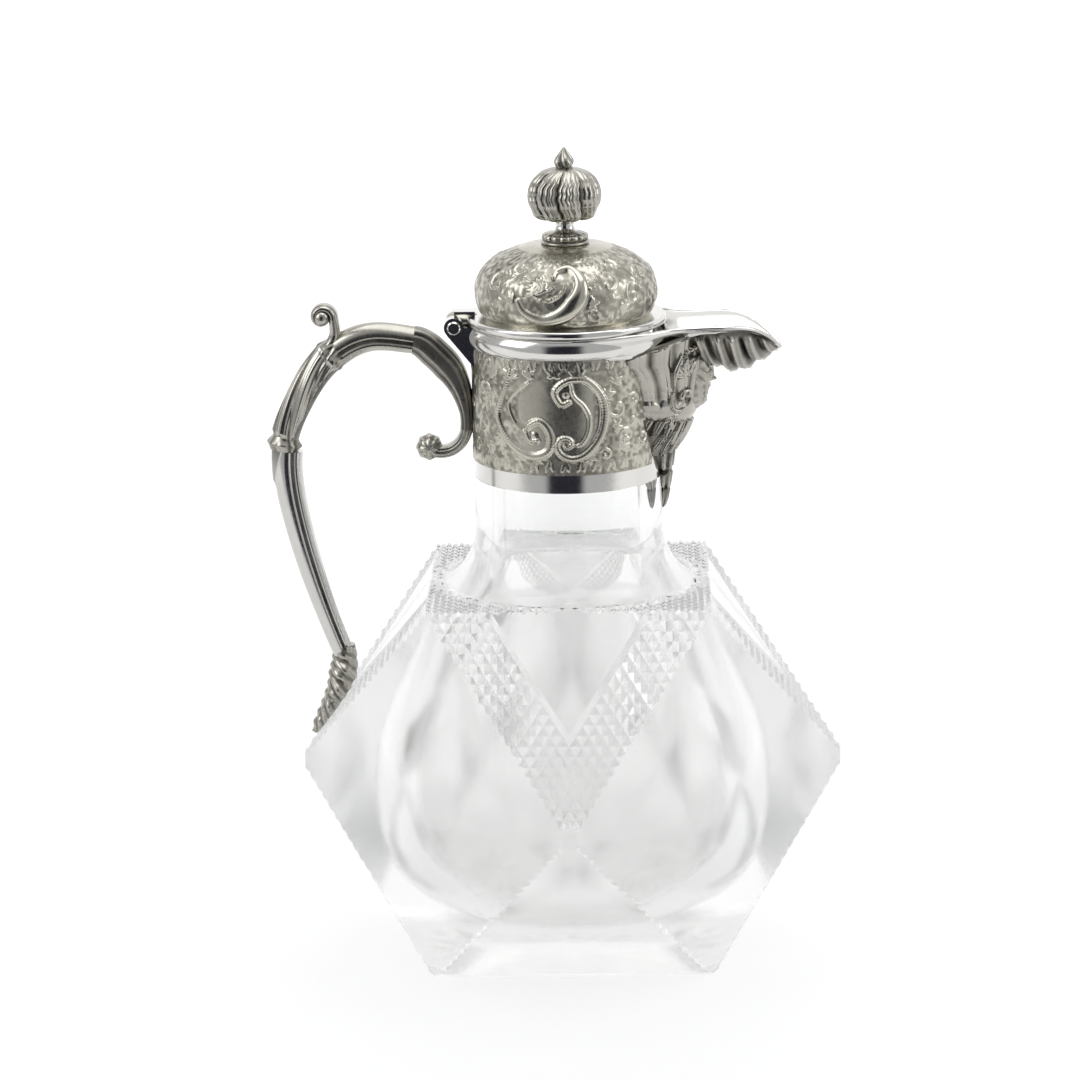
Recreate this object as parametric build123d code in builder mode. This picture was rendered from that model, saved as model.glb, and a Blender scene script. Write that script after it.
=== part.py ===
from build123d import *
import os

# Claret jug: a faceted cut-glass body with a silver collar, spout and handle, and a domed lid on
# a hinge behind the rim. Lengths are millimetres. The origin is the centre of the glass base,
# +Z is up, the spout points along +X and the handle stands on the -X side.

# ---------------------------------------------------------------- driving dimensions
# Glass body: square top and base, joined by eight triangles that meet at four side points
GLASS_HEIGHT = 116.3
GLASS_HALF_SIDE = 42.7  # half of the square top and base
GLASS_MID_HEIGHT = 58.0  # height of the four side points
GLASS_POINT_BLUNT = 1.94  # ground off each side point
BASE_BEVEL = 2.4
NECK_FLARE_RADIUS = 38.0  # where the neck runs out on the square top
NECK_FLARE_HEIGHT = 16.4
NECK_HEIGHT = 32.7  # from the square top to the ledge that the collar stands on
TENON_HEIGHT = 20.5  # glass inside the collar
BORE_RADIUS = 22.0
BORE_REACH = 21.0  # straight bore below the ledge, above the blown hollow
HOLLOW_RADIUS = 50.0
HOLLOW_FLOOR = 17.0
HOLLOW_FLOOR_RADIUS = 26.0
STAR_RAYS = 16
STAR_INNER = 5.0
STAR_OUTER = 34.0
STAR_RAY_WIDTH = 5.6
STAR_DEPTH = 1.4

# Diamond cutting: V grooves that cross, half a groove to a step
CUT_STEPS = 44  # along each sloping edge and along each edge of the square top
CUT_BAND_STEPS = 10  # width of each cut arm
CUT_DEPTH = 1.05
TOP_CUT_DEPTH = 0.85
TOP_CUT_MARGIN = 2.2  # plain ring round the foot of the neck
NOTCH_DEPTH = 0.39

# Collar
COLLAR_RADIUS = 29.0
COLLAR_WALL = 1.3
PLASTER_THICKNESS = 1.7
NECK_STEP = 0.2  # the glass neck under the collar is this much smaller
COLLAR_BAND_HEIGHT = 8.0  # plain band under the chased ground
COLLAR_BAND_STEP = 0.4
COLLAR_HEIGHT = 40.6
RIM_HEIGHT = 6.4
RIM_ROLL = 1.4  # how far the rim stands out from the collar
RIM_THICKNESS = 3.2

# Spout
SPOUT_WALL = 1.4
SPOUT_ROOT_X = 18.0  # inside the collar, where the spout's outlines close
SPOUT_DEPTH = 23.0  # from the rim down to the underside of the trough
FLANGE_DROP = 6.6  # from the rim down to the flange's lower edge at the collar
FLANGE_RUN = 15.0  # beyond the collar, where the flange has narrowed to nothing
FLUTES = 9
FLUTE_DEPTH = 0.8
MASK_HEIGHT = 24.0
MASK_WIDTH = 15.0
MASK_DEPTH = 9.0
MASK_DROP = 18.0  # from the rim down to its middle
MASK_REACH = 10.2  # beyond the collar

# Hinge
HINGE_REACH = 3.6  # beyond the rim
KNUCKLE_RADIUS = 3.0
HINGE_LENGTH = 16.0
LEAF_LENGTH = 5.6  # the lid's centre knuckle
KNUCKLE_GAP = 0.25
PIN_RADIUS = 1.25
PIN_PLAY = 0.05
PIN_HEAD = 0.8
SLOT_WIDTH = 1.7  # open slot between the hinge block and the handle's bracket

# Handle
BRACKET_WIDTH = 9.0
CURL_RADIUS = 4.0
SCROLL_RADIUS = 3.7
SCROLL_WIDTH = 8.0
ARCH_WIDTH = 9.0
STEM_WIDTH = 8.4
FOOT_WIDTH = 13.0
FOOT_SHOULDER = 35.7  # where the stem ends, down the glass face
FOOT_RISE = 8.45  # there, off the glass
FOOT_TIP = 62.0  # where the leaf ends, down the glass face

# Lid and finial
LID_SEAT_GAP = 0.2
FLANGE_OVERHANG = 0.1  # beyond the rim
FLANGE_HEIGHT = 2.5
BEZEL_CLEARANCE = 0.6
BEZEL_DEPTH = 4.0
BEZEL_WALL = 1.0
FLANGE_SHELF = 4.5  # flat of the flange outside the dome's foot
DOME_SWELL = 1.7  # how far the dome is wider than its foot
DOME_SWELL_HEIGHT = 6.8
DOME_HEIGHT = 21.6
DOME_WALL = 1.1
FINIAL_BASE_RADIUS = 7.3
FINIAL_BASE_HEIGHT = 3.9
FINIAL_STEM_RADIUS = 3.7
FINIAL_STEM_HEIGHT = 4.0
FINIAL_BULB_RADIUS = 11.3
FINIAL_BULB_HEIGHT = 15.4
FINIAL_LOBES = 10
FINIAL_TIP_RADIUS = 3.4
FINIAL_TIP_HEIGHT = 5.9
STUD_RADIUS = 1.5
STUD_PLAY = 0.1
WASHER_RADIUS = 4.5
WASHER_THICKNESS = 0.8
NUT_ACROSS_FLATS = 5.5
NUT_HEIGHT = 2.4

# ---------------------------------------------------------------- shared places
SIDE_POINT = 2 * GLASS_HALF_SIDE  # the sharp point before it is blunted
NECK_TOP = GLASS_HEIGHT + NECK_HEIGHT
NECK_RADIUS = COLLAR_RADIUS - NECK_STEP
GLASS_RIM = NECK_TOP + TENON_HEIGHT
BORE_FOOT = NECK_TOP - BORE_REACH
COLLAR_BORE = COLLAR_RADIUS - COLLAR_WALL
TENON_RADIUS = COLLAR_BORE - PLASTER_THICKNESS
COLLAR_BAND_TOP = NECK_TOP + COLLAR_BAND_HEIGHT
COLLAR_TOP = NECK_TOP + COLLAR_HEIGHT
RIM_RADIUS = COLLAR_RADIUS + RIM_ROLL
RIM_TOP = COLLAR_TOP + RIM_HEIGHT
MOUTH_RADIUS = RIM_RADIUS - RIM_THICKNESS
SPOUT_FLOOR = RIM_TOP - SPOUT_DEPTH
FLANGE_FOOT = RIM_TOP - FLANGE_DROP
HINGE_X = -(RIM_RADIUS + HINGE_REACH)
HINGE_Z = RIM_TOP
LID_SEAT = RIM_TOP + LID_SEAT_GAP
FLANGE_RADIUS = RIM_RADIUS + FLANGE_OVERHANG
DOME_FOOT_RADIUS = FLANGE_RADIUS - FLANGE_SHELF
DOME_RADIUS = DOME_FOOT_RADIUS + DOME_SWELL
FLANGE_TOP = LID_SEAT + FLANGE_HEIGHT
BEZEL_RADIUS = MOUTH_RADIUS - BEZEL_CLEARANCE
DOME_TOP = FLANGE_TOP + DOME_HEIGHT
FINIAL_STEM_FOOT = DOME_TOP + FINIAL_BASE_HEIGHT
FINIAL_BULB_FOOT = FINIAL_STEM_FOOT + FINIAL_STEM_HEIGHT
FINIAL_TIP_FOOT = FINIAL_BULB_FOOT + FINIAL_BULB_HEIGHT

os.makedirs("parts", exist_ok=True)


def save(piece, name):
    """Labels a finished piece and writes it under its name."""
    piece.part.label = name
    export_step(piece.part, f"parts/{name}.step")


def turned(points, inner_radius):
    """Face of a ring's section between an inner radius and an outline of (radius, height)."""
    with BuildSketch(Plane.XZ) as section:
        with BuildLine():
            Polyline(*points, (inner_radius, points[-1][1]), (inner_radius, points[0][1]), close=True)
        make_face()
    return section.sketch


def groove_rack(plane, step, first, last, depth):
    """Face of V grooves side by side on a plane: sharp at its even steps, cut to a depth at its odd ones."""
    with BuildSketch(plane) as teeth:
        with BuildLine():
            outline = [(place * step, -depth * (place % 2)) for place in range(first, last + 1)]
            Polyline(*outline, (last * step, 2 * CUT_DEPTH), (first * step, 2 * CUT_DEPTH), close=True)
        make_face()
    return teeth.sketch


# ---------------------------------------------------------------- glass body
side_corner = Vector(SIDE_POINT, 0, GLASS_MID_HEIGHT)
top_corner = Vector(GLASS_HALF_SIDE, GLASS_HALF_SIDE, GLASS_HEIGHT)
foot_corner = Vector(GLASS_HALF_SIDE, GLASS_HALF_SIDE, 0)

with BuildPart() as glass_body:
    # The square prism on its corner gives the four upright diamonds
    with BuildSketch():
        Rectangle(SIDE_POINT * 2**0.5, SIDE_POINT * 2**0.5, rotation=45)
    extrude(amount=GLASS_HEIGHT)
    # A hexagon from the front and one from the side cut the eight triangles
    for side_view in (Plane.XZ, Plane.YZ):
        reach = SIDE_POINT - GLASS_POINT_BLUNT
        rise = GLASS_POINT_BLUNT * (GLASS_HEIGHT - GLASS_MID_HEIGHT) / GLASS_HALF_SIDE
        fall = GLASS_POINT_BLUNT * GLASS_MID_HEIGHT / GLASS_HALF_SIDE
        with BuildSketch(side_view):
            with BuildLine():
                Polyline(
                    (GLASS_HALF_SIDE, 0),
                    (reach, GLASS_MID_HEIGHT - fall),
                    (reach, GLASS_MID_HEIGHT + rise),
                    (GLASS_HALF_SIDE, GLASS_HEIGHT),
                    (-GLASS_HALF_SIDE, GLASS_HEIGHT),
                    (-reach, GLASS_MID_HEIGHT + rise),
                    (-reach, GLASS_MID_HEIGHT - fall),
                    (-GLASS_HALF_SIDE, 0),
                    close=True,
                )
            make_face()
        extrude(amount=SIDE_POINT, both=True, mode=Mode.INTERSECT)
    chamfer(glass_body.edges().group_by(Axis.Z)[0], BASE_BEVEL)
    # Neck: a concave flare from the square top to a straight cylinder, then the tenon
    with BuildSketch(Plane.XZ):
        with BuildLine():
            Line((0, GLASS_HEIGHT - BASE_BEVEL), (NECK_FLARE_RADIUS, GLASS_HEIGHT - BASE_BEVEL))
            Line((NECK_FLARE_RADIUS, GLASS_HEIGHT - BASE_BEVEL), (NECK_FLARE_RADIUS, GLASS_HEIGHT))
            TangentArc(
                (NECK_RADIUS, GLASS_HEIGHT + NECK_FLARE_HEIGHT),
                (NECK_FLARE_RADIUS, GLASS_HEIGHT),
                tangent=(0, -1),
            )
            Polyline(
                (NECK_RADIUS, GLASS_HEIGHT + NECK_FLARE_HEIGHT),
                (NECK_RADIUS, NECK_TOP),
                (TENON_RADIUS, NECK_TOP),
                (TENON_RADIUS, GLASS_RIM),
                (0, GLASS_RIM),
                (0, GLASS_HEIGHT - BASE_BEVEL),
            )
        make_face()
    revolve(axis=Axis.Z)
    # Blown hollow and the bore through the neck
    with BuildSketch(Plane.XZ):
        with BuildLine():
            Line((0, HOLLOW_FLOOR), (HOLLOW_FLOOR_RADIUS, HOLLOW_FLOOR))
            Spline(
                (HOLLOW_FLOOR_RADIUS, HOLLOW_FLOOR),
                (HOLLOW_RADIUS, GLASS_MID_HEIGHT),
                (BORE_RADIUS, BORE_FOOT),
                tangents=((1, 0), (0, 1)),
                tangent_scalars=(1.4, 1.0),
            )
            Polyline((BORE_RADIUS, BORE_FOOT), (BORE_RADIUS, GLASS_RIM), (0, GLASS_RIM), (0, HOLLOW_FLOOR))
        make_face()
    revolve(axis=Axis.Z, mode=Mode.SUBTRACT)
    # Star cut under the base: long pyramids round a flat centre
    with BuildPart(mode=Mode.PRIVATE) as ray:
        with BuildSketch():
            with Locations(((STAR_INNER + STAR_OUTER) / 2, 0)):
                with BuildLine():
                    Polyline(
                        (STAR_INNER, 0),
                        (STAR_OUTER * 0.6, STAR_RAY_WIDTH / 2),
                        (STAR_OUTER, 0),
                        (STAR_OUTER * 0.6, -STAR_RAY_WIDTH / 2),
                        close=True,
                    )
                make_face()
        loft([ray.pending_faces[0], Vertex(STAR_OUTER * 0.6, 0, STAR_DEPTH)])
    with PolarLocations(0, STAR_RAYS):
        add(ray.part, mode=Mode.SUBTRACT)
    # Diamond cutting in two arms of each upper triangle, along its sloping edges and across them
    rise_one = top_corner - side_corner
    for side in (1, -1):
        run = Vector(rise_one.X, rise_one.Y * side, rise_one.Z)
        across = Vector(rise_one.X, -rise_one.Y * side, rise_one.Z)
        step = across.length / CUT_STEPS
        face_out = Vector(rise_one.Z, 0, -rise_one.X).normalized()
        start = side_corner - run * (1 / CUT_STEPS)
        rack_plane = Plane(origin=start, x_dir=across, z_dir=across.cross(face_out))
        for first, last, length in (
            (0, CUT_BAND_STEPS, CUT_STEPS),
            (CUT_BAND_STEPS, CUT_STEPS, CUT_BAND_STEPS - 1),
        ):
            with BuildPart(mode=Mode.PRIVATE) as rack:
                rack_face = groove_rack(rack_plane, step, first, last, CUT_DEPTH)
                extrude(rack_face, amount=(length + 1) * step, dir=run)
            with PolarLocations(0, 4):
                add(rack.part, mode=Mode.SUBTRACT)
    # Smaller diamonds in the corners of the square top
    top_step = GLASS_HALF_SIDE * 2**0.5 / CUT_STEPS
    for side in (1, -1):
        with BuildPart(mode=Mode.PRIVATE) as rack:
            rack_plane = Plane(origin=(0, 0, GLASS_HEIGHT), x_dir=(1, side, 0), z_dir=(-1, side, 0))
            rack_face = groove_rack(rack_plane, top_step, -CUT_STEPS, CUT_STEPS, TOP_CUT_DEPTH)
            extrude(rack_face, amount=SIDE_POINT, both=True)
            with BuildSketch(Plane.XY.offset(GLASS_HEIGHT - 2 * CUT_DEPTH)):
                Circle(NECK_FLARE_RADIUS + TOP_CUT_MARGIN)
            extrude(amount=5 * CUT_DEPTH, mode=Mode.SUBTRACT)
        add(rack.part, mode=Mode.SUBTRACT)
    # Notches all along the lower sloping edges
    for side in (1, -1):
        edge_run = Vector(foot_corner.X - side_corner.X, foot_corner.Y * side, foot_corner.Z - side_corner.Z)
        step = edge_run.length / CUT_STEPS
        slope_out = Vector(GLASS_MID_HEIGHT, 0, -GLASS_HALF_SIDE).normalized()
        edge_out = slope_out + Vector(1, side, 0).normalized()
        edge_plane = Plane(origin=side_corner, x_dir=edge_run, z_dir=edge_run.cross(edge_out))
        with BuildPart(mode=Mode.PRIVATE) as rack:
            rack_face = groove_rack(edge_plane, step, 2, CUT_STEPS - 2, NOTCH_DEPTH)
            extrude(rack_face, amount=2 * CUT_DEPTH, both=True)
        with PolarLocations(0, 4):
            add(rack.part, mode=Mode.SUBTRACT)
save(glass_body, "glass_body")

with BuildPart() as neck_plaster:
    with BuildSketch(Plane.XY.offset(NECK_TOP)):
        Circle(COLLAR_BORE)
        Circle(TENON_RADIUS, mode=Mode.SUBTRACT)
    extrude(amount=GLASS_RIM - NECK_TOP)
save(neck_plaster, "neck_plaster")


# ---------------------------------------------------------------- spout outlines
# Level outlines of the spout's bowl from its foot up: distance below the rim, half width at the
# root inside the collar, reach beyond the collar and half width at the shoulder, reach at the front
BOWL_OUTLINES = (
    (39.5, 16.5, -0.4, 10.4, 3.8),
    (32.0, 17.4, 1.8, 11.6, 7.9),
    (SPOUT_DEPTH, 18.6, 4.4, 12.2, 10.0),
    (14.0, 20.6, 6.8, 12.2, 11.5),
    (6.0, 24.0, 8.6, 12.2, 12.6),
    (0.0, 25.5, 9.8, 12.2, 13.2),
)
# Upright sections of the beak from the bowl to the tip: reach beyond the collar, half width, and
# how far its edge and its underside lie below the rim
BEAK_SECTIONS = (
    (6.0, 11.8, 0.0, 14.0),
    (11.0, 12.4, -0.1, 11.8),
    (16.0, 14.6, -0.3, 10.8),
    (21.0, 13.8, -0.3, 10.4),
    (26.0, 10.0, 0.4, 10.2),
    (31.0, 5.6, 3.2, 9.7),
    (35.7, 2.6, 7.7, 10.0),
)


def bowl_wall(inset, root, shoulder_reach, shoulder, front_reach):
    """Curve of the bowl's wall at one level, from its root round the front and back."""
    shoulder_x = COLLAR_RADIUS + shoulder_reach - inset
    with BuildLine(mode=Mode.PRIVATE):
        wall = Spline(
            (SPOUT_ROOT_X, root - inset),
            (shoulder_x, shoulder - inset),
            (COLLAR_RADIUS + front_reach - inset, 0),
            (shoulder_x, inset - shoulder),
            (SPOUT_ROOT_X, inset - root),
        )
    return wall


def bowl_loft(inset, deepest):
    """Solid through the bowl's outlines down to a depth, its sides drawn in by an inset."""
    wires = []
    for drop, *sizes in BOWL_OUTLINES:
        if drop <= deepest:
            wall = bowl_wall(inset, *sizes)
            with BuildSketch(Plane.XY.offset(RIM_TOP - drop)) as outline:
                with BuildLine():
                    add(wall)
                    Line(wall @ 1, wall @ 0)
                make_face()
            wires.append(outline.sketch.faces()[0].outer_wire())
    return Solid.make_loft(wires)


def fluted_loft():
    """Solid through the bowl's outlines with the part outside the collar scalloped into flutes."""
    wires = []
    for drop, *sizes in BOWL_OUTLINES:
        wall = bowl_wall(0, *sizes)
        inside = 0.0
        outside = 0.5
        while outside - inside > 1e-6:
            middle = (inside + outside) / 2
            if (wall @ middle).length < COLLAR_RADIUS:
                inside = middle
            else:
                outside = middle
        places = [inside + (1 - 2 * inside) * flute / FLUTES for flute in range(FLUTES + 1)]
        valleys = [wall @ at + (wall % at).rotate(Axis.Z, -90) * FLUTE_DEPTH for at in places]
        with BuildSketch(Plane.XY.offset(RIM_TOP - drop)) as outline:
            with BuildLine():
                for flute in range(FLUTES):
                    crest = wall @ ((places[flute] + places[flute + 1]) / 2)
                    ThreePointArc(valleys[flute], crest, valleys[flute + 1])
                back_x = SPOUT_ROOT_X - FLUTE_DEPTH
                Polyline(valleys[-1], (back_x, valleys[-1].Y), (back_x, valleys[0].Y), valleys[0])
            make_face()
        wires.append(outline.sketch.faces()[0].outer_wire())
    return Solid.make_loft(wires)


def beak_loft(inset):
    """Solid through the beak's D-shaped sections, drawn in from its sides by an inset."""
    wires = []
    for reach, half_width, edge_drop, underside_drop in BEAK_SECTIONS:
        rim = RIM_TOP - edge_drop
        underside = RIM_TOP - underside_drop
        with BuildSketch(Plane.YZ.offset(COLLAR_RADIUS + reach)) as section:
            with BuildLine():
                Line((inset - half_width, rim + inset), (half_width - inset, rim + inset))
                ThreePointArc(
                    (half_width - inset, rim + inset),
                    (0, underside + inset),
                    (inset - half_width, rim + inset),
                )
            make_face()
        wires.append(section.sketch.faces()[0].outer_wire())
    return Solid.make_loft(wires)


def rim_section(inner_radius):
    """Face of the rim's rolled section, from an inner radius out."""
    with BuildSketch(Plane.XZ) as section:
        with BuildLine():
            Polyline(
                (COLLAR_RADIUS, COLLAR_TOP),
                (inner_radius, COLLAR_TOP),
                (inner_radius, RIM_TOP),
                (COLLAR_RADIUS, RIM_TOP),
            )
            ThreePointArc(
                (COLLAR_RADIUS, RIM_TOP),
                (RIM_RADIUS, (COLLAR_TOP + RIM_TOP) / 2),
                (COLLAR_RADIUS, COLLAR_TOP),
            )
        make_face()
    return section.sketch


# The flange's lower edge rises from the collar to the lip
FLANGE_EDGE = Plane(
    origin=(SPOUT_ROOT_X, 0, FLANGE_FOOT),
    x_dir=(0, 1, 0),
    z_dir=(-FLANGE_DROP, 0, COLLAR_RADIUS + FLANGE_RUN - SPOUT_ROOT_X),
)

# The way for the wine, from inside the collar to the lip
with BuildPart() as wine_way:
    add(bowl_loft(2 * SPOUT_WALL, SPOUT_DEPTH))
    split(bisect_by=Plane.XY.offset(SPOUT_FLOOR + SPOUT_WALL), keep=Keep.TOP)
    extrude(wine_way.faces().sort_by(Axis.Z)[-1], amount=SPOUT_WALL)
    add(beak_loft(SPOUT_WALL))

# What fills the collar from its axis out, for cutting what is soldered to its outside
with BuildPart() as collar_core:
    with BuildSketch(Plane.XY.offset(NECK_TOP - BORE_RADIUS)):
        Circle(COLLAR_RADIUS)
    extrude(amount=COLLAR_TOP - NECK_TOP + BORE_RADIUS)
    add(rim_section(0))
    revolve(axis=Axis.Z)

# ---------------------------------------------------------------- collar
with BuildPart() as collar_sleeve:
    band_radius = COLLAR_RADIUS - COLLAR_BAND_STEP
    with BuildSketch(Plane.XZ):
        with BuildLine():
            Polyline(
                (COLLAR_BORE, NECK_TOP),
                (band_radius, NECK_TOP),
                (band_radius, COLLAR_BAND_TOP),
                (COLLAR_RADIUS, COLLAR_BAND_TOP + COLLAR_BAND_STEP),
                (COLLAR_RADIUS, COLLAR_TOP),
                (COLLAR_BORE, COLLAR_TOP),
                close=True,
            )
        make_face()
    revolve(axis=Axis.Z)
    add(wine_way.part, mode=Mode.SUBTRACT)
save(collar_sleeve, "collar_sleeve")

with BuildPart() as collar_rim:
    add(rim_section(MOUTH_RADIUS))
    revolve(axis=Axis.Z)
    add(wine_way.part, mode=Mode.SUBTRACT)
save(collar_rim, "collar_rim")

# ---------------------------------------------------------------- spout
with BuildPart() as spout_channel:
    add(bowl_loft(0, RIM_TOP))
    split(bisect_by=FLANGE_EDGE, keep=Keep.TOP)
    add(bowl_loft(SPOUT_WALL, SPOUT_DEPTH))
    add(beak_loft(0))
    add(wine_way.part, mode=Mode.SUBTRACT)
    add(collar_core.part, mode=Mode.SUBTRACT)
save(spout_channel, "spout_channel")

with BuildPart() as spout_apron:
    add(fluted_loft())
    split(bisect_by=FLANGE_EDGE, keep=Keep.BOTTOM)
    add(bowl_loft(SPOUT_WALL, SPOUT_DEPTH), mode=Mode.SUBTRACT)
    add(beak_loft(0), mode=Mode.SUBTRACT)
    add(collar_core.part, mode=Mode.SUBTRACT)
save(spout_apron, "spout_apron")

# ---------------------------------------------------------------- hinge
# The slot between the hinge block and the handle's bracket runs down towards the collar
SLOT_FOOT = Vector(-COLLAR_RADIUS - 0.6, RIM_TOP - 11.7)
SLOT_HEAD = Vector(-COLLAR_RADIUS - 6.5, RIM_TOP - 4.4)
slot_run = (SLOT_HEAD - SLOT_FOOT).normalized()
slot_side = Vector(slot_run.Y, -slot_run.X) * (SLOT_WIDTH / 2)
KNUCKLE_AXIS = Plane(origin=(HINGE_X, 0, HINGE_Z), x_dir=(1, 0, 0), z_dir=(0, -1, 0))


def on_slot(side, x):
    """Point of one side of the slot at an x."""
    start = SLOT_FOOT + slot_side * side
    return (x, start.Y + (x - start.X) * slot_run.Y / slot_run.X)


with BuildPart() as hinge_block:
    with BuildSketch(Plane.XZ):
        with BuildLine():
            Polyline(
                on_slot(1, -(COLLAR_RADIUS - 1)),
                on_slot(1, HINGE_X - KNUCKLE_RADIUS * 0.7),
                (HINGE_X - KNUCKLE_RADIUS * 0.9, HINGE_Z),
                (-(COLLAR_RADIUS - 1), HINGE_Z),
                close=True,
            )
        make_face()
    extrude(amount=HINGE_LENGTH / 2, both=True)
    with BuildSketch(KNUCKLE_AXIS):
        Circle(KNUCKLE_RADIUS)
    extrude(amount=HINGE_LENGTH / 2, both=True)
    # Room for the lid's knuckle, and the pin's hole
    with BuildSketch(KNUCKLE_AXIS):
        Circle(KNUCKLE_RADIUS + KNUCKLE_GAP)
    extrude(amount=LEAF_LENGTH / 2 + KNUCKLE_GAP, both=True, mode=Mode.SUBTRACT)
    with BuildSketch(KNUCKLE_AXIS):
        Circle(PIN_RADIUS)
    extrude(amount=HINGE_LENGTH / 2, both=True, mode=Mode.SUBTRACT)
    add(collar_core.part, mode=Mode.SUBTRACT)
save(hinge_block, "hinge_block")

with BuildPart() as hinge_pin:
    with BuildSketch(KNUCKLE_AXIS):
        Circle(PIN_RADIUS)
    extrude(amount=HINGE_LENGTH / 2 + PIN_HEAD, both=True)
    for side in (-1, 1):
        with BuildSketch(KNUCKLE_AXIS.offset(side * (HINGE_LENGTH / 2 + PIN_HEAD / 2))):
            Circle(PIN_RADIUS + PIN_HEAD)
        extrude(amount=PIN_HEAD / 2, both=True)
    chamfer(hinge_pin.faces().sort_by(Axis.Y)[0].edges(), PIN_HEAD / 2)
    chamfer(hinge_pin.faces().sort_by(Axis.Y)[-1].edges(), PIN_HEAD / 2)
save(hinge_pin, "hinge_pin")

# ---------------------------------------------------------------- handle


def from_collar(out, down):
    """Point (x, z) of the handle, a distance out from the collar's wall and down from its rim."""
    return (-COLLAR_RADIUS - out, RIM_TOP - down)


# The face of the glass that the foot lies on: x runs down it and z stands off it
slope_run = Vector(-GLASS_HALF_SIDE, 0, GLASS_MID_HEIGHT - GLASS_HEIGHT).normalized()
slope_off = Vector(0, 1, 0).cross(slope_run)
GLASS_FACE = Plane(origin=(-GLASS_HALF_SIDE, 0, GLASS_HEIGHT), x_dir=slope_run, z_dir=slope_off)

ARCH_START = from_collar(17.1, 4.1)
ARCH_WAYPOINTS = (from_collar(31.6, 3.8), from_collar(43.6, 10.8), from_collar(52.6, 24.8))
NODE = from_collar(56.9, 39.0)  # where the leaves end and the plain stem begins
stem_foot = GLASS_FACE.from_local_coords(Vector(FOOT_SHOULDER, 0, FOOT_RISE))
STEM_END = (stem_foot.X, stem_foot.Z)
STEM_BOWS = ((0.31, 3.04), (0.631, 2.65))  # share of the way down, and how far it bows out there
STEM_WAYPOINTS = [
    (NODE[0] + (STEM_END[0] - NODE[0]) * share - bow, NODE[1] + (STEM_END[1] - NODE[1]) * share)
    for share, bow in STEM_BOWS
]
ARCH_THICKNESSES = (7.9, 9.4, 10.0, 9.2, 8.8, 9.4)
STEM_THICKNESSES = (9.4, 8.9, 8.3, 7.6, 6.8, 6.4)

with BuildLine(Plane.XZ) as handle_line:
    arch_line = Spline(ARCH_START, *ARCH_WAYPOINTS, NODE, tangents=((-1, 0.15), (-0.1, -1)))
    stem_line = Spline(NODE, *STEM_WAYPOINTS, STEM_END, tangents=((-0.1, -1), (0.4, -1)))


def swept_ellipses(line, thicknesses, width):
    """Solid through ellipses spaced evenly along a line, thick in its plane and wide across it."""
    wires = []
    for place, thickness in enumerate(thicknesses):
        along = place / (len(thicknesses) - 1)
        with BuildSketch(Plane(line @ along, x_dir=(0, 1, 0), z_dir=line % along)) as section:
            Ellipse(width / 2, thickness / 2)
        wires.append(section.sketch.faces()[0].outer_wire())
    return Solid.make_loft(wires)


with BuildPart() as handle_arch:
    add(swept_ellipses(arch_line, ARCH_THICKNESSES, ARCH_WIDTH))
save(handle_arch, "handle_arch")

with BuildPart() as handle_stem:
    add(swept_ellipses(stem_line, STEM_THICKNESSES, STEM_WIDTH))
save(handle_stem, "handle_stem")

CURL_CENTRE = from_collar(13.5, 38.5)

with BuildPart() as handle_bracket:
    arch_foot = Plane(arch_line @ 0, x_dir=(0, 1, 0), z_dir=arch_line % 0)
    across = Vector((arch_line % 0).Z, -(arch_line % 0).X) * (ARCH_THICKNESSES[0] / 2)
    arch_outer = Vector(*ARCH_START) + across
    arch_inner = Vector(*ARCH_START) - across
    with BuildSketch(Plane.XZ):
        with BuildLine():
            Line((arch_outer.X, arch_outer.Y), (arch_inner.X, arch_inner.Y))
            Spline(
                (arch_inner.X, arch_inner.Y),
                from_collar(8.5, 15.0),
                from_collar(2.9, 27.0),
                from_collar(6.2, 36.4),
                from_collar(12.0, 37.5),
            )
            Line(from_collar(12.0, 37.5), from_collar(12.5, 41.6))
            Spline(
                from_collar(12.5, 41.6),
                from_collar(6.0, 40.0),
                from_collar(2.2, 35.4),
                from_collar(-1.0, 30.0),
            )
            Polyline(
                from_collar(-1.0, 30.0),
                on_slot(-1, -(COLLAR_RADIUS - 1)),
                on_slot(-1, HINGE_X - 2.2),
                from_collar(11.8, 4.2),
                (arch_outer.X, arch_outer.Y),
            )
        make_face()
    extrude(amount=BRACKET_WIDTH / 2, both=True)
    with Locations((CURL_CENTRE[0], 0, CURL_CENTRE[1])):
        Sphere(CURL_RADIUS)
    add(collar_core.part, mode=Mode.SUBTRACT)
save(handle_bracket, "handle_bracket")

SCROLL_CENTRE = from_collar(44.1, -3.0)

with BuildPart() as handle_thumb_scroll:
    with BuildSketch(Plane.XZ):
        with BuildLine():
            Polyline(
                from_collar(38.4, 4.0),
                from_collar(41.2, -1.6),
                from_collar(47.2, -1.2),
                from_collar(45.6, 8.4),
                close=True,
            )
        make_face()
        with Locations(SCROLL_CENTRE):
            Circle(SCROLL_RADIUS)
    extrude(amount=SCROLL_WIDTH / 2, both=True)
    add(handle_arch.part, mode=Mode.SUBTRACT)
save(handle_thumb_scroll, "handle_thumb_scroll")

# The foot seen from the side: x runs down the glass face and y stands off it
FOOT_SIDE = Plane(origin=GLASS_FACE.origin, x_dir=slope_run, z_dir=(0, 1, 0))

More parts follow.
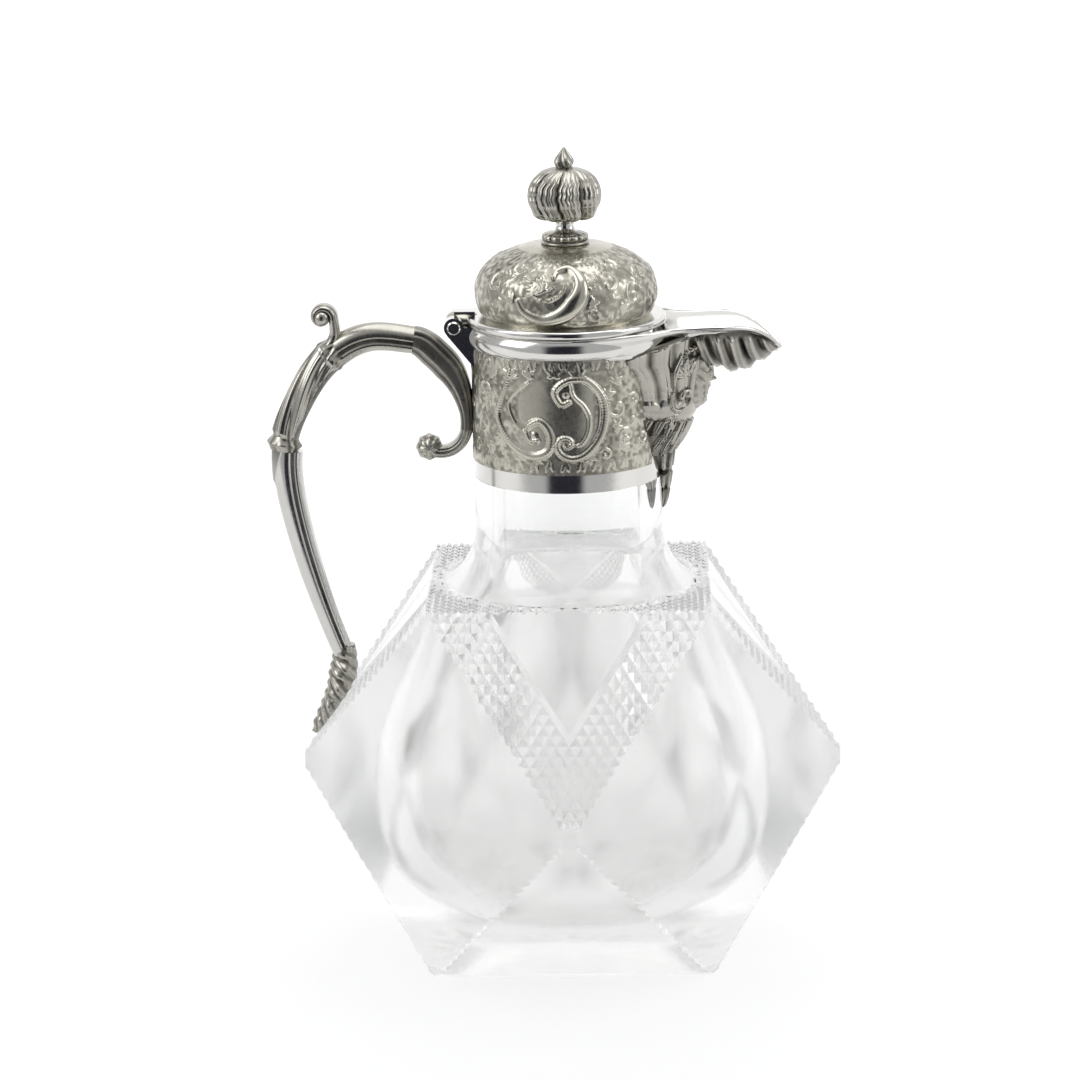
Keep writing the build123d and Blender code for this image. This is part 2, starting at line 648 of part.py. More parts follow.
with BuildPart() as handle_foot:
    stem_tangent = stem_line % 1
    stem_across = Vector(-stem_tangent.Z, 0, stem_tangent.X) * (STEM_THICKNESSES[-1] / 2)
    stem_outer = FOOT_SIDE.to_local_coords(stem_line @ 1 - stem_across)
    stem_inner = FOOT_SIDE.to_local_coords(stem_line @ 1 + stem_across)
    with BuildSketch(FOOT_SIDE):
        with BuildLine():
            Line((stem_inner.X, stem_inner.Y), (stem_outer.X, stem_outer.Y))
            Spline(
                (stem_outer.X, stem_outer.Y),
                (FOOT_TIP - 14.9, 4.9),
                (FOOT_TIP - 7.2, 3.4),
                (FOOT_TIP + 0.8, 1.7),
            )
            Polyline(
                (FOOT_TIP + 0.8, 1.7),
                (FOOT_TIP + 1.6, -1.6),
                (FOOT_SHOULDER - 4.3, -1.6),
                (stem_inner.X, stem_inner.Y),
            )
        make_face()
    extrude(amount=FOOT_WIDTH / 2, both=True)
    # Trimmed to a pointed leaf, seen square to the glass
    with BuildSketch(GLASS_FACE):
        with BuildLine():
            upper = Spline(
                (FOOT_SHOULDER - 23, STEM_WIDTH / 2),
                (FOOT_SHOULDER - 3, STEM_WIDTH / 2),
                (FOOT_SHOULDER + 7, FOOT_WIDTH / 2),
                (FOOT_TIP, 0),
            )
            mirror(upper, about=Plane.XZ)
            Line((FOOT_SHOULDER - 23, -STEM_WIDTH / 2), (FOOT_SHOULDER - 23, STEM_WIDTH / 2))
        make_face()
    extrude(amount=STEM_END[1], both=True, mode=Mode.INTERSECT)
    split(bisect_by=GLASS_FACE, keep=Keep.TOP)
save(handle_foot, "handle_foot")

# ---------------------------------------------------------------- spout's cast ornaments
LEAF_WIDTH = 9.0

# Underside of the leaf from its root to its tip: reach beyond the collar, distance below the rim
LEAF_OUTLINE = ((15.5, 9.5), (17.6, 12.6), (22.0, 15.0), (28.0, 13.4), (33.5, 9.0))

with BuildPart() as spout_lip_leaf:
    with BuildSketch(Plane.XZ):
        with BuildLine():
            underside = Spline(*[(COLLAR_RADIUS + reach, RIM_TOP - drop) for reach, drop in LEAF_OUTLINE])
            Line(underside @ 1, underside @ 0)
        make_face()
    extrude(amount=LEAF_WIDTH / 2, both=True)
    add(beak_loft(0), mode=Mode.SUBTRACT)
save(spout_lip_leaf, "spout_lip_leaf")


def egg(centre, radii):
    """Ellipsoid at a centre, with one radius along each axis."""
    return Pos(*centre) * scale(Solid.make_sphere(1), by=radii, mode=Mode.PRIVATE)


with BuildPart() as spout_mask:
    mask_x = COLLAR_RADIUS + MASK_REACH
    mask_z = RIM_TOP - MASK_DROP
    add(egg((mask_x, 0, mask_z + 2), (MASK_DEPTH / 2, MASK_WIDTH / 2, MASK_HEIGHT * 0.38)))
    add(egg((mask_x, 0, mask_z - 4), (MASK_DEPTH * 0.42, MASK_WIDTH * 0.36, MASK_HEIGHT * 0.34)))
    add(bowl_loft(0, RIM_TOP), mode=Mode.SUBTRACT)
    add(spout_apron.part, mode=Mode.SUBTRACT)
    add(beak_loft(0), mode=Mode.SUBTRACT)
save(spout_mask, "spout_mask")

# Three husks hang in a row in front of the neck: top above the collar's foot, half width, depth
HUSKS = ((7.5, 9.6, 3.6), (0.4, 6.6, 2.8), (-4.6, 4.2, 2.2), (-10.3, 0, 0))

with BuildPart() as spout_drop:
    for (top, half_width, depth), (bottom, _, _) in zip(HUSKS, HUSKS[1:]):
        wires = []
        for level, share in ((top, 0.72), (top - (top - bottom) * 0.4, 1.0), (bottom, 0.5)):
            with BuildSketch(Plane.XY.offset(NECK_TOP + level)) as slice_outline:
                with Locations((COLLAR_RADIUS - 0.4, 0)):
                    Ellipse(depth * share, half_width * share)
            wires.append(slice_outline.sketch.faces()[0].outer_wire())
        add(Solid.make_loft(wires))
    add(collar_core.part, mode=Mode.SUBTRACT)
save(spout_drop, "spout_drop")

# ---------------------------------------------------------------- lid
with BuildPart() as lid_bezel:
    with BuildSketch(Plane.XY.offset(LID_SEAT - BEZEL_DEPTH)):
        Circle(BEZEL_RADIUS)
        Circle(BEZEL_RADIUS - BEZEL_WALL, mode=Mode.SUBTRACT)
    extrude(amount=BEZEL_DEPTH)
    chamfer(lid_bezel.edges().group_by(Axis.Z)[0], BEZEL_WALL / 3)
save(lid_bezel, "lid_bezel")

with BuildPart() as lid_flange:
    with BuildSketch(Plane.XY.offset(LID_SEAT)):
        Circle(FLANGE_RADIUS)
        Circle(DOME_FOOT_RADIUS - DOME_WALL, mode=Mode.SUBTRACT)
    extrude(amount=FLANGE_HEIGHT)
    rim_edges = lid_flange.edges().filter_by(GeomType.CIRCLE).filter_by(lambda e: e.radius > DOME_RADIUS)
    fillet(rim_edges, FLANGE_HEIGHT * 0.4)
save(lid_flange, "lid_flange")


def dome_outline(inset):
    """Edges of the dome's profile from its foot to the flat under the finial."""
    with BuildLine() as outline:
        Spline(
            (DOME_FOOT_RADIUS - inset, FLANGE_TOP),
            (DOME_RADIUS - inset, FLANGE_TOP + DOME_SWELL_HEIGHT),
            (DOME_RADIUS - 6.4 - inset * 0.8, DOME_TOP - 4.3 - inset * 0.6),
            (DOME_RADIUS - 13.7 - inset * 0.3, DOME_TOP - 1.0 - inset * 0.9),
            (FINIAL_BASE_RADIUS, DOME_TOP - inset),
            tangents=((0.5, 1), (-1, 0)),
        )
        Line((FINIAL_BASE_RADIUS, DOME_TOP - inset), (STUD_RADIUS + STUD_PLAY, DOME_TOP - inset))
    return outline.line


with BuildPart() as lid_dome:
    with BuildSketch(Plane.XZ):
        with BuildLine():
            add(dome_outline(0))
            add(dome_outline(DOME_WALL))
            Line((DOME_FOOT_RADIUS, FLANGE_TOP), (DOME_FOOT_RADIUS - DOME_WALL, FLANGE_TOP))
            Line((STUD_RADIUS + STUD_PLAY, DOME_TOP), (STUD_RADIUS + STUD_PLAY, DOME_TOP - DOME_WALL))
        make_face()
    revolve(axis=Axis.Z)
save(lid_dome, "lid_dome")

with BuildPart() as lid_hinge_leaf:
    leaf_top = FLANGE_TOP + 1.3
    with BuildSketch(Plane.XZ):
        with BuildLine():
            Polyline(
                (HINGE_X, HINGE_Z),
                (HINGE_X + KNUCKLE_RADIUS, HINGE_Z + LID_SEAT_GAP),
                (-DOME_RADIUS, HINGE_Z + LID_SEAT_GAP),
                (-DOME_RADIUS, leaf_top),
                (HINGE_X, leaf_top),
                close=True,
            )
        make_face()
    extrude(amount=LEAF_LENGTH / 2, both=True)
    with BuildSketch(KNUCKLE_AXIS):
        Circle(KNUCKLE_RADIUS)
    extrude(amount=LEAF_LENGTH / 2, both=True)
    with BuildSketch(KNUCKLE_AXIS):
        Circle(PIN_RADIUS + PIN_PLAY)
    extrude(amount=LEAF_LENGTH / 2, both=True, mode=Mode.SUBTRACT)
    add(lid_flange.part, mode=Mode.SUBTRACT)
save(lid_hinge_leaf, "lid_hinge_leaf")

# ---------------------------------------------------------------- finial
with BuildPart() as finial_base:
    with BuildSketch(Plane.XZ):
        with BuildLine():
            Polyline(
                (STUD_RADIUS, DOME_TOP + FINIAL_BASE_HEIGHT),
                (STUD_RADIUS, DOME_TOP),
                (FINIAL_BASE_RADIUS - 0.6, DOME_TOP),
            )
            ThreePointArc(
                (FINIAL_BASE_RADIUS - 0.6, DOME_TOP),
                (FINIAL_BASE_RADIUS, DOME_TOP + FINIAL_BASE_HEIGHT * 0.3),
                (FINIAL_BASE_RADIUS - 1.4, DOME_TOP + FINIAL_BASE_HEIGHT * 0.6),
            )
            TangentArc(
                (FINIAL_STEM_RADIUS, DOME_TOP + FINIAL_BASE_HEIGHT),
                (FINIAL_BASE_RADIUS - 1.4, DOME_TOP + FINIAL_BASE_HEIGHT * 0.6),
                tangent=(0, -1),
            )
            Line(
                (FINIAL_STEM_RADIUS, DOME_TOP + FINIAL_BASE_HEIGHT),
                (STUD_RADIUS, DOME_TOP + FINIAL_BASE_HEIGHT),
            )
        make_face()
    revolve(axis=Axis.Z)
save(finial_base, "finial_base")

with BuildPart() as finial_stem:
    with BuildSketch(Plane.XZ):
        with BuildLine():
            Line((0, FINIAL_STEM_FOOT), (FINIAL_STEM_RADIUS, FINIAL_STEM_FOOT))
            ThreePointArc(
                (FINIAL_STEM_RADIUS, FINIAL_STEM_FOOT),
                (FINIAL_STEM_RADIUS - 0.9, FINIAL_STEM_FOOT + FINIAL_STEM_HEIGHT / 2),
                (FINIAL_STEM_RADIUS + 0.6, FINIAL_BULB_FOOT),
            )
            Polyline(
                (FINIAL_STEM_RADIUS + 0.6, FINIAL_BULB_FOOT),
                (0, FINIAL_BULB_FOOT),
                (0, FINIAL_STEM_FOOT),
            )
        make_face()
    revolve(axis=Axis.Z)
    with BuildSketch(Plane.XY.offset(FINIAL_STEM_FOOT)):
        Circle(STUD_RADIUS)
    extrude(amount=FINIAL_STEM_HEIGHT / 2, mode=Mode.SUBTRACT)
save(finial_stem, "finial_stem")

# The bulb's outline: share of its height, share of its radius
BULB_PROFILE = ((0.0, 0.38), (0.16, 0.78), (0.45, 1.0), (0.76, 0.8), (0.93, 0.45), (1.0, 0.26))

with BuildPart() as finial_bulb:
    for height_share, radius_share in BULB_PROFILE:
        radius = FINIAL_BULB_RADIUS * radius_share
        with BuildSketch(Plane.XY.offset(FINIAL_BULB_FOOT + FINIAL_BULB_HEIGHT * height_share)):
            lobe_reach = radius * 0.93
            with BuildLine():
                for lobe in range(FINIAL_LOBES):
                    start = Vector(lobe_reach, 0).rotate(Axis.Z, lobe * 360 / FINIAL_LOBES)
                    crest = Vector(radius, 0).rotate(Axis.Z, (lobe + 0.5) * 360 / FINIAL_LOBES)
                    end = Vector(lobe_reach, 0).rotate(Axis.Z, (lobe + 1) * 360 / FINIAL_LOBES)
                    ThreePointArc(start, crest, end)
            make_face()
    loft()
save(finial_bulb, "finial_bulb")

with BuildPart() as finial_tip:
    with BuildSketch(Plane.XZ):
        bud_foot = FINIAL_BULB_RADIUS * BULB_PROFILE[-1][1] * 0.93
        with BuildLine():
            Line((0, FINIAL_TIP_FOOT), (bud_foot, FINIAL_TIP_FOOT))
            Spline(
                (bud_foot, FINIAL_TIP_FOOT),
                (FINIAL_TIP_RADIUS, FINIAL_TIP_FOOT + FINIAL_TIP_HEIGHT * 0.35),
                (0.5, FINIAL_TIP_FOOT + FINIAL_TIP_HEIGHT),
            )
            Polyline(
                (0.5, FINIAL_TIP_FOOT + FINIAL_TIP_HEIGHT),
                (0, FINIAL_TIP_FOOT + FINIAL_TIP_HEIGHT),
                (0, FINIAL_TIP_FOOT),
            )
        make_face()
    revolve(axis=Axis.Z)
save(finial_tip, "finial_tip")

washer_top = DOME_TOP - DOME_WALL
nut_top = washer_top - WASHER_THICKNESS
with BuildPart() as finial_washer:
    with BuildSketch(Plane.XY.offset(nut_top)):
        Circle(WASHER_RADIUS)
        Circle(STUD_RADIUS + STUD_PLAY, mode=Mode.SUBTRACT)
    extrude(amount=WASHER_THICKNESS)
save(finial_washer, "finial_washer")

with BuildPart() as finial_nut:
    with BuildSketch(Plane.XY.offset(nut_top - NUT_HEIGHT)):
        RegularPolygon(NUT_ACROSS_FLATS / 2, 6, major_radius=False)
        Circle(STUD_RADIUS, mode=Mode.SUBTRACT)
    extrude(amount=NUT_HEIGHT)
save(finial_nut, "finial_nut")

with BuildPart() as finial_stud:
    with BuildSketch(Plane.XY.offset(nut_top - NUT_HEIGHT - 1)):
        Circle(STUD_RADIUS)
    extrude(amount=FINIAL_STEM_FOOT + FINIAL_STEM_HEIGHT / 2 - nut_top + NUT_HEIGHT + 1)
save(finial_stud, "finial_stud")
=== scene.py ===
"""Claret jug: cut-glass body, silver collar, spout, handle and hinged lid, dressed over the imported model.

Every length below is in millimetres until a mesh is made, which turns it into metres. The frame is
the CAD's: +Z up, the origin at the centre of the glass base, the spout along +X.
"""

import logging
import math
from dataclasses import dataclass, field
from enum import Enum

import bpy
import bmesh
import numpy as np
from mathutils import Matrix, Vector

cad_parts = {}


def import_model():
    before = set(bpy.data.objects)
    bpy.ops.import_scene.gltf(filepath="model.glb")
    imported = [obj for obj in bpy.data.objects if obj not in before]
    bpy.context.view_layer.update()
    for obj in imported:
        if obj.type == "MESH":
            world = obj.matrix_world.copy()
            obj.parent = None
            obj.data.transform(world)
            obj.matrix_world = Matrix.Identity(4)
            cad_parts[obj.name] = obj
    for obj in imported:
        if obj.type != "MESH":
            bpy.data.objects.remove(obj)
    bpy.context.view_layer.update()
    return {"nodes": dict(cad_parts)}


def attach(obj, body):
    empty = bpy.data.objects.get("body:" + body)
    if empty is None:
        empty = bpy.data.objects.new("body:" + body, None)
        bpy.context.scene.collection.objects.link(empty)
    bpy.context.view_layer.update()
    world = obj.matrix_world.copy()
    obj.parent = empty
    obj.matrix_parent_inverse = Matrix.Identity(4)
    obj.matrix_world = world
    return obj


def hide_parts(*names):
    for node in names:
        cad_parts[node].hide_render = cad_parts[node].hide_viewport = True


LOG = logging.getLogger("claret_jug")
MM = 0.001
TAU = 2 * math.pi

# ------------------------------------------------------------------ shared sizes
GLASS_HEIGHT = 116.3
GLASS_HALF_SIDE = 42.7
GLASS_MID_HEIGHT = 58.0
SIDE_POINT = 2 * GLASS_HALF_SIDE
NECK_TOP = 149.0
NECK_RADIUS = 28.8
COLLAR_RADIUS = 29.0
COLLAR_BAND_TOP = 157.4
COLLAR_TOP = 189.6
RIM_TOP = 196.0


class Shade(Enum):
    """Ways a surface's edges are shaded."""

    CUT = 22.0
    CAST = 42.0
    SMOOTH = 75.0


# ------------------------------------------------------------------ mesh making
@dataclass
class Surface:
    """Collects grids and polygons of points, and makes one closed mesh of them."""

    points: list = field(default_factory=list)
    faces: list = field(default_factory=list)
    relief: list = field(default_factory=list)
    count: int = 0

    def add_points(self, points: np.ndarray, relief: np.ndarray | float = 0.5) -> np.ndarray:
        """Stores points and gives back their indices in the shape of the grid.

        Args:
            points: array whose last axis is x, y, z in mm.
            relief: height of the pattern there, 0 in the ground and 1 on the crests.

        Returns:
            Array of vertex numbers in the shape of the points without their last axis.
        """
        flat = np.asarray(points, dtype=float).reshape(-1, 3)
        level = np.broadcast_to(np.asarray(relief, dtype=float), points.shape[:-1]).reshape(-1)
        index = np.arange(self.count, self.count + len(flat)).reshape(points.shape[:-1])
        self.points.append(flat)
        self.relief.append(level)
        self.count += len(flat)
        return index

    def add_grid(
        self,
        points: np.ndarray,
        relief: np.ndarray | float = 0.5,
        wrap_u: bool = False,
        wrap_v: bool = False,
    ) -> np.ndarray:
        """Adds a sheet of quads over a grid, closed on itself along the wrapped directions.

        Args:
            points: array of (nu, nv, 3) in mm.
            relief: height of the pattern at each point.
            wrap_u: joins the last row to the first.
            wrap_v: joins the last column to the first.

        Returns:
            The grid's vertex numbers.
        """
        index = self.add_points(points, relief)
        rows = np.vstack([index, index[:1]]) if wrap_u else index
        rows = np.hstack([rows, rows[:, :1]]) if wrap_v else rows
        quads = np.stack([rows[:-1, :-1], rows[1:, :-1], rows[1:, 1:], rows[:-1, 1:]], axis=-1)
        self.faces.append(quads.reshape(-1, 4))
        return index

    def add_faces(self, faces: np.ndarray) -> None:
        """Adds faces that name points already stored, all with the same number of corners."""
        self.faces.append(np.asarray(faces, dtype=int))

    def add_polygon(self, points: np.ndarray, relief: float = 0.5) -> None:
        """Adds one flat polygon through the points in order."""
        index = self.add_points(np.asarray(points, dtype=float), relief)
        self.faces.append(index.reshape(1, -1))

    def build(self, name: str, shade: Shade, merge: float = 0.002) -> bpy.types.Object:
        """Makes the object: joins points that coincide, turns faces outwards and shades them.

        Args:
            name: the piece's name.
            shade: how sharp an edge must be to show.
            merge: distance in mm under which two points are one.

        Returns:
            The new object, linked to the scene, with its relief in an attribute of that name.
        """
        mesh = bpy.data.meshes.new(name)
        points = np.concatenate(self.points) * MM
        sizes = np.concatenate([np.full(len(f), f.shape[1]) for f in self.faces])
        corners = np.concatenate([f.reshape(-1) for f in self.faces])
        mesh.vertices.add(len(points))
        mesh.vertices.foreach_set("co", points.reshape(-1))
        mesh.loops.add(len(corners))
        mesh.loops.foreach_set("vertex_index", corners.astype(np.int32))
        mesh.polygons.add(len(sizes))
        mesh.polygons.foreach_set("loop_start", (np.cumsum(sizes) - sizes).astype(np.int32))
        mesh.polygons.foreach_set("loop_total", sizes.astype(np.int32))
        mesh.update(calc_edges=True)
        attribute = mesh.attributes.new("relief", "FLOAT", "POINT")
        attribute.data.foreach_set("value", np.concatenate(self.relief).astype(np.float32))
        work = bmesh.new()
        work.from_mesh(mesh)
        bmesh.ops.remove_doubles(work, verts=work.verts, dist=merge * MM)
        bmesh.ops.dissolve_degenerate(work, edges=work.edges, dist=1e-7)
        bmesh.ops.recalc_face_normals(work, faces=work.faces)
        work.to_mesh(mesh)
        work.free()
        mesh.polygons.foreach_set("use_smooth", np.ones(len(mesh.polygons), dtype=bool))
        mesh.set_sharp_from_angle(angle=math.radians(shade.value))
        mesh.update()
        piece = bpy.data.objects.new(name, mesh)
        bpy.context.scene.collection.objects.link(piece)
        return piece


def dress(
    piece: bpy.types.Object, body: str, slot: str, material: bpy.types.Material, *nodes: str
) -> bpy.types.Object:
    """Gives a piece its body and material, and hides the CAD nodes it stands for.

    Args:
        piece: the new object.
        body: the CAD body that carries it.
        slot: not used.
        material: its finish.
        nodes: CAD nodes that it replaces.

    Returns:
        The same object.
    """
    piece.data.materials.clear()
    piece.data.materials.append(material)
    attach(piece, body)
    if nodes:
        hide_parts(*nodes)
    LOG.info("%s: %d faces on %s", piece.name, len(piece.data.polygons), body)
    return piece


def smooth_curve(points: np.ndarray, count: int) -> np.ndarray:
    """Catmull-Rom curve through points, evenly spaced along its length.

    Each span is the cubic whose end slopes are half the chord between its neighbours. The dense
    curve is then walked by arc length.

    Args:
        points: control points, (n, d).
        count: how many points come back.

    Returns:
        Array of (count, d).
    """
    p = np.asarray(points, dtype=float)
    ends = np.vstack([2 * p[0] - p[1], p, 2 * p[-1] - p[-2]])
    t = np.linspace(0, 1, 24, endpoint=False)[:, None]
    spans = [
        0.5
        * (
            2 * b
            + (c - a) * t
            + (2 * a - 5 * b + 4 * c - d) * t**2
            + (3 * b - a - 3 * c + d) * t**3
        )
        for a, b, c, d in zip(ends[:-3], ends[1:-2], ends[2:-1], ends[3:])
    ]
    dense = np.vstack(spans + [p[-1:]])
    walked = np.concatenate([[0], np.cumsum(np.linalg.norm(np.diff(dense, axis=0), axis=1))])
    even = np.linspace(0, walked[-1], count)
    return np.stack([np.interp(even, walked, dense[:, k]) for k in range(dense.shape[1])], axis=1)


def lathe(profile: np.ndarray, angles: np.ndarray) -> np.ndarray:
    """Grid of a profile of (radius, height) turned about Z: x = r cos a, y = r sin a, z = height."""
    r, z = profile[:, 0][:, None], profile[:, 1][:, None]
    a = angles[None, :]
    return np.stack([r * np.cos(a), r * np.sin(a), z + 0 * a], axis=-1)


def ridge(distance: np.ndarray, half_width: np.ndarray | float) -> np.ndarray:
    """Round bead: the circle's height over a line, 1 at the line and 0 at the half width."""
    return np.sqrt(np.clip(1 - (distance / half_width) ** 2, 0, 1))


def near_curve(
    u: np.ndarray, v: np.ndarray, curve: np.ndarray, widths: np.ndarray
) -> tuple[np.ndarray, np.ndarray]:
    """Least distance from grid points to a curve, as a share of its width there.

    Args:
        u: first coordinate of the grid's points, mm.
        v: second coordinate, mm.
        curve: points of the curve, (n, 2).
        widths: half width at each point of the curve.

    Returns:
        The distance over the half width, and the share of the way along the curve.
    """
    best = np.full(u.shape, 9.0)
    along = np.zeros(u.shape)
    reach = float(np.max(widths)) * 1.6
    low, high = curve.min(axis=0) - reach, curve.max(axis=0) + reach
    near = (u > low[0]) & (u < high[0]) & (v > low[1]) & (v < high[1])
    if not near.any():
        return best, along
    pu, pv = u[near][:, None], v[near][:, None]
    share = np.hypot(pu - curve[None, :, 0], pv - curve[None, :, 1]) / widths[None, :]
    pick = share.argmin(axis=1)
    best[near] = share[np.arange(len(pick)), pick]
    along[near] = pick / (len(curve) - 1)
    return best, along


# ------------------------------------------------------------------ shader groups
def new_group(name: str, inputs: dict[str, float | tuple], outputs: dict[str, str]) -> tuple:
    """Starts a shader node group with named sockets.

    Args:
        name: the group's name.
        inputs: socket name to default value, a number or a colour of four.
        outputs: socket name to its type, Float, Color or Vector.

    Returns:
        The tree, its input node and its output node.
    """
    tree = bpy.data.node_groups.new(name, "ShaderNodeTree")
    for label, value in inputs.items():
        kind = "NodeSocketFloat" if isinstance(value, float) else "NodeSocketColor"
        socket = tree.interface.new_socket(label, in_out="INPUT", socket_type=kind)
        socket.default_value = value
    for label, kind in outputs.items():
        tree.interface.new_socket(label, in_out="OUTPUT", socket_type=f"NodeSocket{kind}")
    return tree, tree.nodes.new("NodeGroupInput"), tree.nodes.new("NodeGroupOutput")


def maths(tree: bpy.types.NodeTree, operation: str, *values: object) -> bpy.types.NodeSocket:
    """Adds a clamped-free Math node; each value is a number or a socket."""
    node = tree.nodes.new("ShaderNodeMath")
    node.operation = operation
    for slot, value in zip(node.inputs, values):
        if isinstance(value, bpy.types.NodeSocket):
            tree.links.new(value, slot)
        else:
            slot.default_value = value
    return node.outputs[0]


def noise(
    tree: bpy.types.NodeTree, scale: float, detail: float, roughness: float = 0.55
) -> bpy.types.NodeSocket:
    """Noise on Object coordinates, with its scale in features per metre."""
    place = tree.nodes.new("ShaderNodeTexCoord")
    node = tree.nodes.new("ShaderNodeTexNoise")
    node.inputs["Scale"].default_value = scale
    node.inputs["Detail"].default_value = detail
    node.inputs["Roughness"].default_value = roughness
    tree.links.new(place.outputs["Object"], node.inputs["Vector"])
    return node.outputs["Fac"]


def spread(
    tree: bpy.types.NodeTree, value: object, low: float, high: float, out_low: object, out_high: object
) -> bpy.types.NodeSocket:
    """Clamped linear map from one range to another."""
    node = tree.nodes.new("ShaderNodeMapRange")
    node.clamp = True
    for label, given in zip(("Value", "From Min", "From Max", "To Min", "To Max"), (value, low, high, out_low, out_high)):
        if isinstance(given, bpy.types.NodeSocket):
            tree.links.new(given, node.inputs[label])
        else:
            node.inputs[label].default_value = given
    return node.outputs["Result"]


def mix_colour(
    tree: bpy.types.NodeTree, factor: object, first: object, second: object
) -> bpy.types.NodeSocket:
    """Mixes two colours by a factor; each is a value or a socket."""
    node = tree.nodes.new("ShaderNodeMix")
    node.data_type = "RGBA"
    for slot, given in zip((node.inputs[0], node.inputs[6], node.inputs[7]), (factor, first, second)):
        if isinstance(given, bpy.types.NodeSocket):
            tree.links.new(given, slot)
        else:
            slot.default_value = given
    return node.outputs[2]


def tarnish_group() -> bpy.types.NodeTree:
    """Old plate: the ground of a pattern stays dark, its crests are rubbed bright, the rest is cloudy.

    Dark is how far the recesses turn to the Tarnish colour, Cloud how uneven the polish is.
    """
    tree, given, put = new_group(
        "old_silver_tarnish",
        {
            "Silver": (0.8, 0.79, 0.77, 1.0),
            "Tarnish": (0.1, 0.09, 0.08, 1.0),
            "Dark": 0.6,
            "Cloud": 0.3,
            "Roughness": 0.2,
        },
        {"Colour": "Color", "Roughness": "Float"},
    )
    relief = tree.nodes.new("ShaderNodeAttribute")
    relief.attribute_name = "relief"
    cloud = noise(tree, 90.0, 4.0)
    fine = noise(tree, 900.0, 3.0)
    low = spread(tree, relief.outputs["Fac"], 0.0, 0.5, 1.0, 0.0)
    patchy = maths(tree, "MULTIPLY", low, spread(tree, cloud, 0.3, 0.7, 0.55, 1.0))
    dark = maths(tree, "MULTIPLY", patchy, given.outputs["Dark"])
    veil = maths(tree, "MULTIPLY", spread(tree, cloud, 0.42, 0.72, 0.0, 1.0), given.outputs["Cloud"])
    total = maths(tree, "MINIMUM", maths(tree, "ADD", dark, maths(tree, "MULTIPLY", veil, 0.35)), 1.0)
    tree.links.new(
        mix_colour(tree, total, given.outputs["Silver"], given.outputs["Tarnish"]), put.inputs["Colour"]
    )
    rough = maths(tree, "ADD", given.outputs["Roughness"], maths(tree, "MULTIPLY", veil, 0.22))
    rough = maths(tree, "ADD", rough, maths(tree, "MULTIPLY", spread(tree, fine, 0.35, 0.7, 0.0, 1.0), 0.05))
    tree.links.new(maths(tree, "ADD", rough, maths(tree, "MULTIPLY", dark, 0.3)), put.inputs["Roughness"])
    return tree


def chasing_group() -> bpy.types.NodeTree:
    """Tool marks: matting punched all over the ground, and the hair scratches of polishing.

    Matting is the depth of the punched dots where the relief is low, Scratches that of the hairs.
    The height comes out in shares of a Bump node's distance.
    """
    tree, given, put = new_group(
        "silver_tool_marks", {"Matting": 0.5, "Grain": 1900.0, "Scratches": 0.1}, {"Height": "Float"}
    )
    place = tree.nodes.new("ShaderNodeTexCoord")
    dots = tree.nodes.new("ShaderNodeTexVoronoi")
    tree.links.new(place.outputs["Object"], dots.inputs["Vector"])
    tree.links.new(given.outputs["Grain"], dots.inputs["Scale"])
    relief = tree.nodes.new("ShaderNodeAttribute")
    relief.attribute_name = "relief"
    low = spread(tree, relief.outputs["Fac"], 0.05, 0.45, 1.0, 0.0)
    punched = maths(tree, "MULTIPLY", maths(tree, "MULTIPLY", dots.outputs["Distance"], low), given.outputs["Matting"])
    stretch = tree.nodes.new("ShaderNodeMapping")
    stretch.inputs["Scale"].default_value = (1.0, 1.0, 14.0)
    stretch.inputs["Rotation"].default_value = (0.3, 0.2, 0.4)
    tree.links.new(place.outputs["Object"], stretch.inputs["Vector"])
    hairs = tree.nodes.new("ShaderNodeTexNoise")
    hairs.inputs["Scale"].default_value = 260.0
    hairs.inputs["Detail"].default_value = 5.0
    tree.links.new(stretch.outputs["Vector"], hairs.inputs["Vector"])
    scratched = maths(tree, "MULTIPLY", hairs.outputs["Fac"], given.outputs["Scratches"])
    tree.links.new(maths(tree, "ADD", punched, scratched), put.inputs["Height"])
    return tree


def group_node(tree: bpy.types.NodeTree, group: bpy.types.NodeTree, **values: object) -> bpy.types.Node:
    """Places a group in a material with its own values."""
    node = tree.nodes.new("ShaderNodeGroup")
    node.node_tree = group
    for label, value in values.items():
        node.inputs[label].default_value = value
    return node


